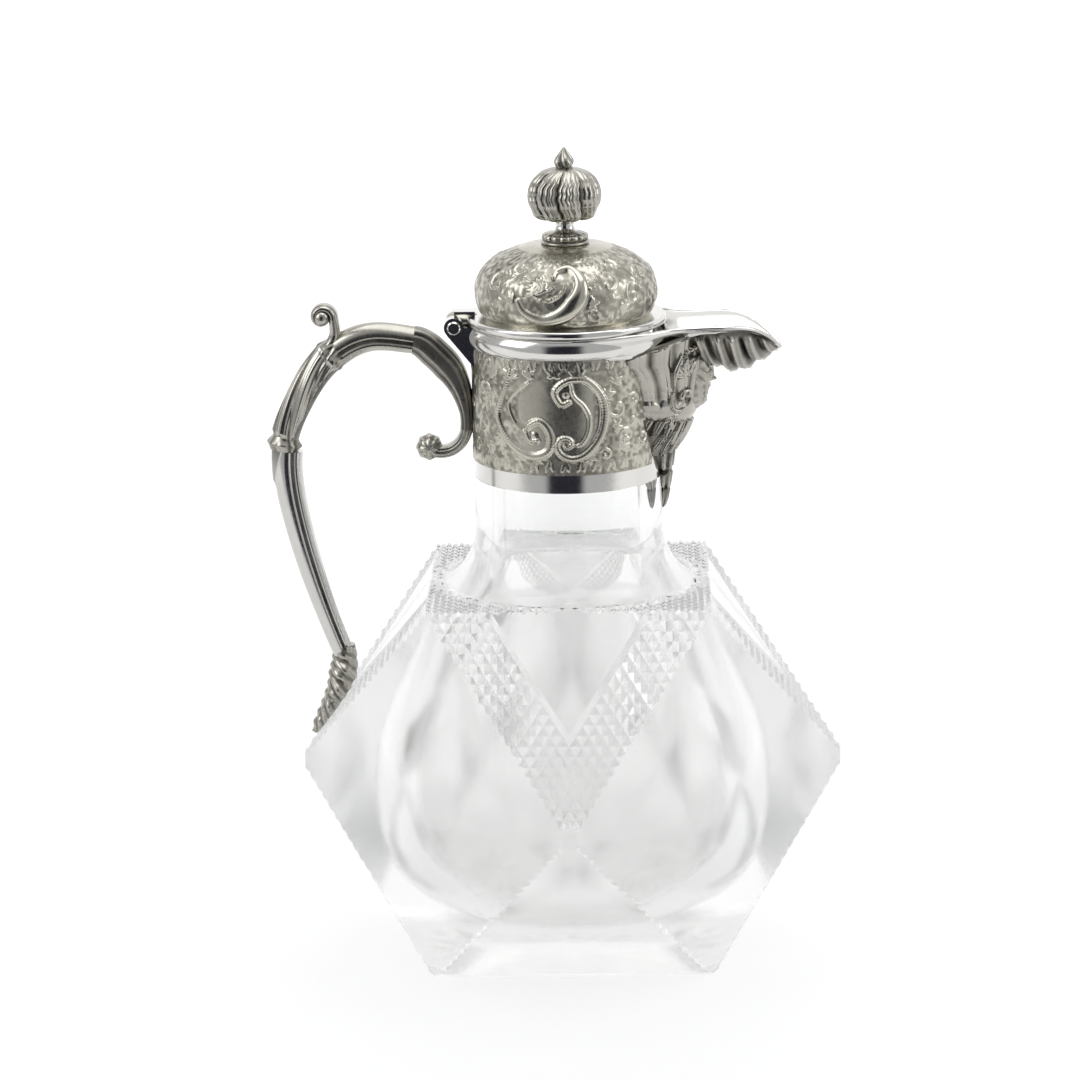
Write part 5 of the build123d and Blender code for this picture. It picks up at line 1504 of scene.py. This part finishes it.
    def make_channel(self, finish: bpy.types.Material) -> None:
        """Builds the polished channel: rolled edge, shallow open trough, and a band down to the apron."""
        count = 150
        half = smooth_curve(
            np.array([(2.0, -28.6), (9.0, -27.7), (15.0, -26.0), (20.0, -23.9), (25.0, -20.9), (30.0, -17.0), (34.0, -15.0),
                      (38.0, -14.3), (42.0, -14.3), (46.0, -14.5), (50.0, -13.6), (55.0, -10.4), (60.0, -6.2),
                      (63.4, -2.9), (64.9, 0.0)]),
            count,
        )
        x, y = half[:, 0], half[:, 1]
        edge = np.interp(x, (0, 28), (195.4, 196.0)) * (x < 28) + self.lip(x)[1] * (x >= 28)
        fall = np.clip(self.edge_foot - 0.6 + (x - self.root_x) * self.edge_slope, 189.2, None)
        fall = np.minimum(fall, edge - 1.5)
        slope = np.gradient(half, axis=0)
        out = np.stack([slope[:, 1], -slope[:, 0]], axis=1)
        out /= np.linalg.norm(out, axis=1)[:, None]
        middle = np.interp(x, (10, 26, 34, 45, 55, 62, 64.9), (188.5, 188.5, 191.9, 192.4, 191.8, 189.0, 187.0))
        middle = np.minimum(middle, edge - 0.6)
        reach = np.interp(x, (10, 24, 30), (0.12, 0.35, 1.0))
        sections = []
        for down, aside in ((1.0, -0.9), (0.97, -0.5), (0.85, -0.45), (0.6, -0.3), (0.35, 0.1), (0.15, 0.7)):
            sections.append((half + out * (aside), edge + (fall - edge) * down))
        for turn in np.linspace(-20, 170, 12):
            roll = half + out * (0.2 + 0.62 * math.cos(math.radians(turn)))
            sections.append((roll, edge + 0.62 * math.sin(math.radians(turn))))
        for s in np.linspace(0.06, 1, 16):
            inward = half.copy()
            inward[:, 1] = y * (1 - s * reach)
            inward[:, 0] = x - 0.5 * s
            sections.append((inward, edge + (middle - edge) * (0.5 - 0.5 * math.cos(math.pi * s))))
        near = np.stack([np.concatenate([place, z[:, None]], axis=1) for place, z in sections], axis=1)
        far = near[::-1][1:] * np.array([1, -1, 1])
        grid = np.concatenate([near, far], axis=0)
        surface = Surface()
        index = surface.add_grid(grid, 0.8)
        inner = grid.copy()
        inner[..., 2] -= 0.35
        inner[..., :2] *= 0.996
        under = surface.add_grid(inner[:, ::-1], 0.2)[:, ::-1]
        for line, other in ((index[:, 0], under[:, 0]), (index[:, -1], under[:, -1])):
            surface.add_faces(np.stack([line[:-1], line[1:], other[1:], other[:-1]], axis=1))
        for line, other in ((index[0], under[0]), (index[-1], under[-1])):
            surface.add_faces(np.stack([line[:-1], line[1:], other[1:], other[:-1]], axis=1))
        dress(surface.build("spout_trough", Shade.SMOOTH), "jug", "polished_silver", finish, "spout_channel")

    def make_lip_leaf(self, finish: bpy.types.Material) -> None:
        """Builds the leaf that wraps the lip's underside, lobed and ribbed, with a smooth inner face."""
        rows, around = 150, 170
        x = np.linspace(37.5, 64.4, rows)
        wide, edge, under = self.lip(x)
        t = np.linspace(0, 1, rows)[:, None]
        a = np.linspace(-math.pi / 2, math.pi / 2, around)[None, :]
        lobes = (t * 5.2 + 0.75 * np.abs(a)) % 1.0
        scallop = np.sin(np.pi * lobes) ** 0.8
        veins = 0.5 + 0.5 * np.cos(TAU * (t * 13 + 1.5 * np.abs(a)))
        spine = np.exp(-((a / 0.12) ** 2))
        fade = np.clip((1.5 - np.abs(a)) / 0.12, 0, 1) * np.clip((1 - t) / 0.08, 0, 1)
        grow = fade * (2.3 * scallop + 0.4 * veins + 0.9 * spine - 1.5)
        depth = (edge - under)[:, None] - 0.3

        def shell(thick: np.ndarray | float) -> np.ndarray:
            """Half-round sheet under the lip, pushed out by a thickness."""
            return np.stack(
                [
                    x[:, None] + 0 * a,
                    (wide[:, None] * 0.97 + thick) * np.sin(a),
                    edge[:, None] - 0.8 - (depth - 0.5 + thick) * np.cos(a) ** 0.85,
                ],
                axis=-1,
            )

        outer, inner = shell(grow * 0.8), shell(np.full((rows, around), -1.3))
        loop = np.concatenate([outer, inner[:, ::-1]], axis=1)
        tone = np.clip(fade * (0.6 * scallop**2 * (0.4 + 0.6 * veins) + 0.5 * spine), 0, 1)
        surface = Surface()
        index = surface.add_grid(loop, np.concatenate([tone, 0 * tone], axis=1), wrap_v=True)
        for row in (index[0], index[-1]):
            outside, inside = row[:around], row[around:][::-1]
            surface.add_faces(np.stack([outside[:-1], outside[1:], inside[1:], inside[:-1]], axis=1))
        dress(surface.build("lip_leaf", Shade.CAST), "jug", "cast_silver", finish, "spout_lip_leaf")

    def make_pendant(self, finish: bpy.types.Material) -> None:
        """Builds the pendant: husks that open one out of another, the last drawn to a drop."""
        rows, around = 190, 130
        t = np.linspace(0, 1, rows)
        z = 158.5 + (138.2 - 158.5) * t
        wide = np.interp(
            z,
            (138.2, 138.9, 141.0, 143.6, 144.3, 146.4, 149.2, 149.8, 152.6, 156.0, 158.5),
            (0.3, 1.5, 2.7, 3.6, 2.6, 4.6, 5.9, 4.2, 7.0, 9.3, 8.0),
        )
        deep = np.interp(
            z,
            (138.2, 138.9, 141.0, 143.6, 144.3, 146.4, 149.2, 149.8, 152.6, 156.0, 158.5),
            (0.3, 1.2, 2.0, 2.6, 2.3, 2.9, 3.4, 3.0, 3.7, 4.2, 3.9),
        )
        a = np.arange(around) * TAU / around
        petals = 0.5 + 0.5 * np.cos(9 * a)[None, :] * np.ones((rows, 1))
        level = ((158.5 - z)[:, None] % 7.0) / 7.0
        grow = 1 + 0.12 * (petals - 0.5) * (0.4 + level)
        points = np.stack(
            [
                COLLAR_RADIUS - 0.4 + deep[:, None] * np.cos(a)[None, :] * grow,
                wide[:, None] * np.sin(a)[None, :] * grow,
                z[:, None] - 0.8 * petals * level,
            ],
            axis=-1,
        )
        tone = np.clip(0.75 * petals * level - 0.05, 0, 1)
        surface = Surface()
        index = surface.add_grid(points, tone, wrap_v=True)
        surface.add_faces(index[:1])
        surface.add_faces(index[-1:, ::-1])
        dress(surface.build("husk_pendant", Shade.CAST), "jug", "cast_silver", finish, "spout_drop")

    def make(self, finish: bpy.types.Material, polished: bpy.types.Material) -> None:
        """Builds the polished channel and the four casts."""
        self.make_channel(polished)
        self.make_apron(finish)
        self.make_mask(finish)
        self.make_lip_leaf(finish)
        self.make_pendant(finish)


def spline_resample(line: np.ndarray, count: int) -> np.ndarray:
    """Same line with its points spread evenly."""
    walked = np.concatenate([[0], np.cumsum(np.linalg.norm(np.diff(line, axis=0), axis=1))])
    even = np.linspace(0, walked[-1], count)
    return np.stack([np.interp(even, walked, line[:, k]) for k in range(line.shape[1])], axis=1)


# ------------------------------------------------------------------ handle
def swept(path: np.ndarray, thick: np.ndarray, wide: np.ndarray, grow: np.ndarray, shape: float = 2.0) -> np.ndarray:
    """Grid of closed sections along a path in the plane y = 0.

    A section's point at angle a lies thick * |cos a|^(2/shape) to the outer side of the path and
    wide * |sin a|^(2/shape) across it, both grown by the relief there.

    Args:
        path: x and z of the middle line, (n, 2).
        thick: half thickness in the plane, per point.
        wide: half width across the plane, per point.
        grow: relief to add in mm, (n, around).
        shape: 2 for an ellipse, more for a squarer section.

    Returns:
        Points, (n, around, 3).
    """
    around = grow.shape[1]
    a = np.arange(around) * TAU / around
    slope = np.gradient(path, axis=0)
    slope /= np.linalg.norm(slope, axis=1)[:, None]
    out = np.stack([slope[:, 1], -slope[:, 0]], axis=1)
    c = np.sign(np.cos(a)) * np.abs(np.cos(a)) ** (2 / shape)
    s = np.sign(np.sin(a)) * np.abs(np.sin(a)) ** (2 / shape)
    off = thick[:, None] * c[None, :] + grow * c[None, :]
    side = wide[:, None] * s[None, :] + grow * s[None, :]
    return np.stack(
        [path[:, 0][:, None] + out[:, 0][:, None] * off, side, path[:, 1][:, None] + out[:, 1][:, None] * off],
        axis=-1,
    )


def closed_sweep(name: str, points: np.ndarray, tone: np.ndarray) -> bpy.types.Object:
    """Makes an object of a sweep with both its ends filled."""
    surface = Surface()
    index = surface.add_grid(points, tone, wrap_v=True)
    surface.add_faces(index[:1])
    surface.add_faces(index[-1:, ::-1])
    return surface.build(name, Shade.CAST)


@dataclass
class Handle:
    """Handle: leafy arch, thumb scroll, plain lower stem, leaf foot and the bracket with its curl."""

    arch_path: tuple = ((-46.6, 190.9), (-60.6, 191.9), (-72.9, 185.2), (-82.4, 171.2), (-87.2, 157.2))
    stem_path: tuple = ((-85.9, 157.0), (-84.2, 137.0), (-78.9, 116.3), (-70.6, 92.5))
    around: int = 120

    def make_arch(self, finish: bpy.types.Material) -> None:
        """Builds the arch: a hollow-sided bar first, then acanthus wrapped round it down to a node.

        Angle 0 of a section is the arch's outer side, 90 degrees its side.
        """
        n = 300
        path = spline_curve(np.array(self.arch_path), n, ((-1, 0.15), (-0.1, -1)))
        t = np.linspace(0, 1, n)[:, None]
        a = (np.arange(self.around) * TAU / self.around)[None, :]
        side = np.abs(np.sin(a))
        outer = np.cos(a)
        thick = np.interp(t[:, 0], (0, 0.2, 0.4, 0.6, 0.8, 0.93, 0.97, 1.0), (4.2, 4.4, 4.7, 4.3, 4.0, 4.0, 5.0, 4.3))
        wide = np.interp(t[:, 0], (0, 0.3, 0.6, 0.93, 0.97, 1.0), (4.2, 4.3, 4.6, 4.3, 5.0, 4.3))
        bar = np.clip((0.44 - t) / 0.05, 0, 1)
        groove = np.exp(-(((outer + 0.18) / 0.17) ** 2)) * (side > 0.3)
        lip = np.exp(-(((outer + 0.5) / 0.14) ** 2)) * (side > 0.3)
        leafy = 1 - bar
        turn = np.abs(np.arctan2(np.sin(a), -np.cos(a)))
        lobes = (t * 3.1 + 0.85 * turn) % 1.0
        tooth = np.sin(np.pi * lobes) ** 0.8
        spine = np.exp(-(((turn - np.pi) / 0.42) ** 2))
        vein = np.cos(TAU * (t * 5.0 + 2.2 * turn))
        cover = np.clip((turn - 0.55 - 0.35 * tooth) / 0.15, 0, 1)
        tip = np.clip((0.93 - t) / 0.02, 0, 1)
        leaf = leafy * tip * (cover * (1 - spine) * (0.85 * tooth + 0.16 * vein) + 0.75 * spine)
        node = np.exp(-(((t - 0.965) / 0.016) ** 2)) * (0.5 + 0.5 * np.abs(np.cos(4 * a)))
        grow = bar * (0.35 * lip - 0.95 * groove) + leaf + 0.5 * node
        grow += 0.35 * np.exp(-(((t - 0.455) / 0.014) ** 2))
        tone = 0.55 + bar * (0.5 * lip - 1.1 * groove) + leafy * (cover * (0.8 * tooth + 0.2 * vein) - 0.5)
        tone = np.clip(tone * (1 - 0.75 * spine * leafy), 0, 1)
        points = swept(path, thick, wide, grow)
        dress(closed_sweep("leafy_arch", points, tone), "jug", "cast_silver", finish, "handle_arch")

    def make_stem(self, finish: bpy.types.Material) -> None:
        """Builds the plain stem: a round outer face, a step down each side and a ridge inside."""
        n = 220
        path = spline_curve(np.array(self.stem_path), n, ((-0.1, -1), (0.4, -1)))
        t = np.linspace(0, 1, n)[:, None]
        a = (np.arange(self.around) * TAU / self.around)[None, :]
        thick = np.interp(t[:, 0], (0, 0.2, 0.4, 0.6, 0.8, 1.0), (4.6, 4.4, 4.1, 3.8, 3.4, 3.2))
        wide = np.interp(t[:, 0], (0, 0.5, 1.0), (4.2, 4.0, 3.6))
        outer = np.cos(a)
        groove = np.exp(-(((outer + 0.42) / 0.16) ** 2)) * (np.abs(np.sin(a)) > 0.2)
        tongue = np.clip((0.16 - t) / 0.03, 0, 1) * np.clip((outer - 0.35 - 3.5 * t) / 0.1, 0, 1)
        grow = -1.3 * groove + 0.5 * tongue
        # The grooves down each side are darkened: partly tarnish in them, partly painted shade for the dark line they
        # show.
        tone = np.clip(0.9 - 1.3 * groove + 0.0 * t, 0, 1) * (1 - 0.95 * tongue)
        points = swept(path, thick, wide, grow)
        dress(closed_sweep("plain_stem", points, tone), "jug", "polished_silver", finish, "handle_stem")

    def make_scroll(self, finish: bpy.types.Material) -> None:
        """Builds the thumb scroll: a leaf stalk that rises off the arch and rolls up outwards."""
        n = 150
        stalk = np.array([(-77.6, 181.2), (-75.0, 185.6), (-72.2, 189.6), (-70.6, 193.2)])
        eye = (-74.3, 198.5)
        roll = curl(eye, -32, 400, 3.6, 1.2, 60)
        path = smooth_curve(np.vstack([stalk, roll[4:]]), n)
        t = np.linspace(0, 1, n)[:, None]
        a = (np.arange(60) * TAU / 60)[None, :]
        thick = np.interp(t[:, 0], (0, 0.15, 0.35, 0.7, 1.0), (2.2, 2.3, 1.75, 1.25, 1.0))
        wide = np.interp(t[:, 0], (0, 0.2, 0.4, 0.55, 1.0), (3.2, 3.2, 3.4, 4.0, 3.4))
        rib = np.exp(-(((np.abs(np.sin(a)) - 0.55) / 0.12) ** 2))
        points = swept(path, thick, wide, -0.25 * rib + 0 * t, 2.6)
        surface = Surface()
        index = surface.add_grid(points, np.clip(0.5 - 0.6 * rib + 0 * t, 0, 1), wrap_v=True)
        surface.add_faces(index[:1])
        surface.add_faces(index[-1:, ::-1])
        knob = np.linspace(-math.pi / 2, math.pi / 2, 15)
        rings = np.arange(40) * TAU / 40
        for y in (-3.2, 3.2):
            ball = np.stack(
                [
                    eye[0] + 2.2 * np.cos(knob)[:, None] * np.cos(rings)[None, :],
                    y + 1.7 * np.sin(knob)[:, None] + 0 * rings[None, :],
                    eye[1] + 2.2 * np.cos(knob)[:, None] * np.sin(rings)[None, :],
                ],
                axis=-1,
            )
            surface.add_grid(ball, 0.9, wrap_v=True)
        dress(surface.build("thumb_scroll", Shade.CAST), "jug", "cast_silver", finish, "handle_thumb_scroll")

    def make_foot(self, finish: bpy.types.Material) -> None:
        """Builds the leaf foot: grows out of the stem and lies down the glass face to a point."""
        n, around = 170, 110
        down = np.array([-0.5909, -0.8068])
        off = np.array([-0.8068, 0.5909])
        top = np.array([-GLASS_HALF_SIDE, GLASS_HEIGHT])
        path_face = np.array([(33.6, 9.6), (36.4, 7.4), (40.0, 5.2), (45.0, 3.4), (51.0, 2.3), (57.0, 1.6), (62.4, 0.9)])
        path = np.stack([top + p[0] * down + p[1] * off for p in smooth_curve(path_face, n)])
        t = np.linspace(0, 1, n)[:, None]
        a = (np.arange(around) * TAU / around)[None, :]
        thick = np.interp(t[:, 0], (0, 0.12, 0.3, 0.5, 0.75, 0.92, 1.0), (3.3, 3.7, 4.2, 3.2, 2.2, 1.5, 0.4))
        wide = np.interp(t[:, 0], (0, 0.15, 0.3, 0.5, 0.75, 0.92, 1.0), (3.6, 4.0, 5.4, 6.4, 5.2, 2.6, 0.3))
        wide = wide * (0.84 + 0.2 * np.abs(np.sin(np.pi * (t[:, 0] * 5 + 0.2))))
        turn = np.abs(np.arctan2(np.sin(a), np.cos(a)))
        vein = 0.5 + 0.5 * np.cos(TAU * (t * 9 - 0.6 * turn))
        spine = np.exp(-((turn / 0.18) ** 2))
        grow = (0.5 * vein + 0.4 * spine - 0.3) * np.clip(t / 0.15, 0, 1)
        tone = np.clip(0.15 + 0.7 * vein + 0.5 * spine, 0, 1)
        points = swept(path, thick, wide, grow, 2.0)
        low = (points[..., 0] - top[0]) * off[0] + (points[..., 2] - top[1]) * off[1]
        lift = np.clip(0.02 - low, 0, None)
        points[..., 0] += lift * off[0]
        points[..., 2] += lift * off[1]
        dress(closed_sweep("leaf_foot", points, tone), "jug", "cast_silver", finish, "handle_foot")

    def make_bracket(self, finish: bpy.types.Material) -> None:
        """Builds the bracket: from the arch down the collar's wall, then curled back to a ball."""
        n = 200
        path = spline_curve(
            np.array(
                [(-46.6, 190.9), (-40.8, 187.3), (-35.6, 181.6), (-32.2, 174.6), (-30.8, 167.0), (-31.8, 160.6),
                 (-36.0, 156.6), (-41.6, 156.4)]
            ),
            n,
            ((1, -0.1), (-1, 0.25)),
        )
        t = np.linspace(0, 1, n)[:, None]
        a = (np.arange(80) * TAU / 80)[None, :]
        thick = np.interp(t[:, 0], (0, 0.13, 0.28, 0.45, 0.6, 0.75, 1.0), (4.2, 4.7, 4.6, 3.2, 2.1, 1.9, 1.8))
        wide = np.interp(t[:, 0], (0, 0.3, 0.7, 0.9, 1.0), (4.3, 4.5, 4.5, 3.6, 3.2))
        rib = np.exp(-(((np.abs(np.cos(a)) - 0.5) / 0.16) ** 2)) * (np.abs(np.sin(a)) > 0.3)
        points = swept(path, thick, wide, -0.45 * rib + 0 * t, 3.0)
        surface = Surface()
        index = surface.add_grid(points, np.clip(0.3 - 0.3 * rib + 0.3 * (t > 0.7), 0, 1), wrap_v=True)
        surface.add_faces(index[:1])
        surface.add_faces(index[-1:, ::-1])
        up = np.linspace(-math.pi / 2, math.pi / 2, 31)
        ring = np.arange(60) * TAU / 60
        radius = 4.0 * (1 + 0.05 * np.cos(8 * ring)[None, :] * np.cos(up)[:, None])
        ball = np.stack(
            [
                -42.5 + radius * np.cos(up)[:, None] * np.cos(ring)[None, :],
                radius * np.sin(up)[:, None] + 0 * ring[None, :],
                157.5 + radius * np.cos(up)[:, None] * np.sin(ring)[None, :],
            ],
            axis=-1,
        )
        surface.add_grid(ball, 0.5 + 0.4 * np.cos(8 * ring)[None, :] * np.cos(up)[:, None], wrap_v=True)
        dress(surface.build("curled_bracket", Shade.CAST), "jug", "cast_silver", finish, "handle_bracket")

    def make(self, cast: bpy.types.Material, polished: bpy.types.Material) -> None:
        """Builds the five pieces."""
        self.make_arch(cast)
        self.make_stem(polished)
        self.make_scroll(cast)
        self.make_foot(cast)
        self.make_bracket(cast)


# ------------------------------------------------------------------ studio
@dataclass
class Studio:
    """Pale floor, soft lights and the photograph's camera."""

    camera_place: tuple = (-9.054, -1273.73, 450.27)
    elevation: float = 14.2148
    roll: float = -0.925
    turn: float = 1.218
    lens: float = 142.03

    def make_camera(self) -> None:
        """Places the camera: it looks level with its elevation, rolled a little, turned about Z."""
        el, roll, turn = (math.radians(v) for v in (self.elevation, self.roll, self.turn))
        back = np.array([0.0, -math.cos(el), math.sin(el)])
        right = np.array([1.0, 0.0, 0.0])
        up = np.cross(back, right)
        c, s = math.cos(roll), math.sin(roll)
        across, upright = c * right + s * up, -s * right + c * up
        spin = np.array([[math.cos(turn), -math.sin(turn), 0], [math.sin(turn), math.cos(turn), 0], [0, 0, 1]])
        place = spin @ np.array(self.camera_place) * MM
        data = bpy.data.cameras.new("camera")
        data.lens, data.sensor_width, data.clip_end = self.lens, 36.0, 50.0
        camera = bpy.data.objects.new("camera", data)
        matrix = np.eye(4)
        for column, axis in enumerate((across, upright, back)):
            matrix[:3, column] = spin @ axis
        matrix[:3, 3] = place
        camera.matrix_world = Matrix(matrix.tolist())
        bpy.context.scene.collection.objects.link(camera)
        bpy.context.scene.camera = camera

    def make_floor(self) -> None:
        """Pale sweep: a level floor that curves up behind into a wall; it glows, more towards the back, as painted
        light.
        """
        profile = np.array([(-0.36, 0.0), (1.2, 0.0)] + [
            (1.2 + 0.8 * math.sin(t), 0.8 * (1 - math.cos(t))) for t in np.linspace(0.1, math.pi / 2, 14)
        ] + [(2.0, 3.2)])
        x = np.array([-3.2, 3.2])
        grid = np.stack(np.broadcast_arrays(x[None, :], profile[:, :1], profile[:, 1:]), axis=-1) / MM
        surface = Surface()
        surface.add_grid(grid)
        floor = surface.build("floor", Shade.SMOOTH)
        for polygon in floor.data.polygons:
            polygon.use_smooth = True
        material = bpy.data.materials.new("glowing_paper")
        material.use_nodes = True
        tree = material.node_tree
        shader = tree.nodes["Principled BSDF"]
        shader.inputs["Roughness"].default_value = 0.65
        shader.inputs["Specular IOR Level"].default_value = 0.2
        place = tree.nodes.new("ShaderNodeTexCoord")
        split = tree.nodes.new("ShaderNodeSeparateXYZ")
        tree.links.new(place.outputs["Object"], split.inputs["Vector"])
        # Painted light: the grey paper glows, from 0.56 at the front to 0.86 towards the back.
        shader.inputs["Emission Color"].default_value = (1.0, 1.0, 1.0, 1.0)
        glow = spread(tree, split.outputs["Y"], 0.1, 1.4, 0.56, 0.86)
        tree.links.new(glow, shader.inputs["Emission Strength"])
        tone = spread(tree, noise(tree, 3.0, 2.0), 0.3, 0.7, 0.0, 1.0)
        colour = mix_colour(tree, tone, (0.38, 0.38, 0.38, 1.0), (0.36, 0.36, 0.36, 1.0))
        tree.links.new(colour, shader.inputs["Base Color"])
        floor.data.materials.append(material)

    def make_light(self, name: str, place: tuple, size: tuple, power: float, aim: tuple = (0, 0, 0.12)) -> None:
        """Adds one soft box that faces the jug.

        Args:
            name: the light's name.
            place: where it hangs, in metres.
            size: its width and height, in metres.
            power: watts.
            aim: the point it faces.
        """
        data = bpy.data.lights.new(name, "AREA")
        data.shape, data.size, data.size_y, data.energy = "RECTANGLE", size[0], size[1], power
        light = bpy.data.objects.new(name, data)
        light.location = place
        light.rotation_euler = (Vector(aim) - Vector(place)).to_track_quat("-Z", "Y").to_euler()
        bpy.context.scene.collection.objects.link(light)

    def make_world(self) -> None:
        """Room: pale overhead, and dark behind the camera, where silver mirrors it."""
        world = bpy.data.worlds.new("room")
        world.use_nodes = True
        tree = world.node_tree
        background = tree.nodes["Background"]
        place = tree.nodes.new("ShaderNodeTexCoord")
        split = tree.nodes.new("ShaderNodeSeparateXYZ")
        tree.links.new(place.outputs["Generated"], split.inputs["Vector"])
        front = spread(tree, split.outputs["Y"], -0.86, -0.74, 1.0, 0.0)
        aside = maths(tree, "ABSOLUTE", maths(tree, "ADD", split.outputs["X"], 0.05))
        middle = spread(tree, aside, 0.30, 0.42, 1.0, 0.0)
        shade = maths(tree, "MULTIPLY", front, middle)
        seen = tree.nodes.new("ShaderNodeLightPath")
        dark = mix_colour(tree, seen.outputs["Is Transmission Ray"], (0.02, 0.02, 0.03, 1.0), (0.42, 0.425, 0.43, 1.0))
        colour = mix_colour(tree, shade, (0.52, 0.525, 0.53, 1.0), dark)
        backdrop = mix_colour(tree, seen.outputs["Is Camera Ray"], colour, (1.0, 1.0, 1.0, 1.0))
        tree.links.new(backdrop, background.inputs["Color"])
        bpy.context.scene.world = world

    def make(self) -> None:
        """Sets up the whole studio."""
        scene = bpy.context.scene
        scene.view_settings.view_transform = "Standard"
        scene.view_settings.look = "None"
        scene.cycles.max_bounces = 24
        scene.cycles.transmission_bounces = 20
        scene.cycles.glossy_bounces = 8
        self.make_camera()
        self.make_floor()
        self.make_world()
        self.make_light("softbox_left", (-1.1, -0.5, 0.9), (0.8, 1.1), 6.5)
        self.make_light("softbox_right", (1.2, -0.2, 0.7), (0.6, 1.0), 4.5)
        self.make_light("softbox_top", (0.1, 0.1, 1.5), (1.4, 1.2), 10.0)


# ------------------------------------------------------------------ the whole jug
NODE_FINISHES = {
    "polished_silver": ("collar_sleeve", "collar_rim", "spout_channel", "handle_stem", "lid_flange", "lid_bezel", "finial_stem",
                        "hinge_pin", "hinge_block", "lid_hinge_leaf"),
    "chased_silver": ("lid_dome",),
    "cast_silver": ("spout_apron", "spout_mask", "spout_lip_leaf", "spout_drop", "handle_bracket", "handle_arch",
                    "handle_thumb_scroll", "handle_foot", "finial_base", "finial_bulb", "finial_tip"),
    "brass": ("finial_stud", "finial_washer", "finial_nut"),
    "plaster": ("neck_plaster",),
}


def dress_nodes(nodes: dict, materials: dict) -> None:
    """Gives every CAD node that stays its finish."""
    for finish, names in NODE_FINISHES.items():
        for name in names:
            mesh = nodes[name].data
            mesh.materials.clear()
            mesh.materials.append(materials[finish])
            relief = mesh.attributes.new("relief", "FLOAT", "POINT")
            relief.data.foreach_set("value", np.full(len(mesh.vertices), 0.7))


def main() -> None:
    """Loads the frame, dresses every part in order and sets the studio."""
    logging.basicConfig(level=logging.INFO, format="%(name)s: %(message)s")
    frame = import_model()
    materials = Finishes().make()
    dress_nodes(frame["nodes"], materials)
    GlassBody().make(materials["cut_crystal"])
    CollarChasing().make(materials["chased_silver"])
    LidDome().make(materials["chased_silver"])
    Finial().make(materials["cast_silver"])
    SpoutCasts().make(materials["cast_silver"], materials["polished_silver"])
    Handle().make(materials["cast_silver"], materials["worn_silver"])
    Studio().make()


if __name__ == "__main__":
    main()
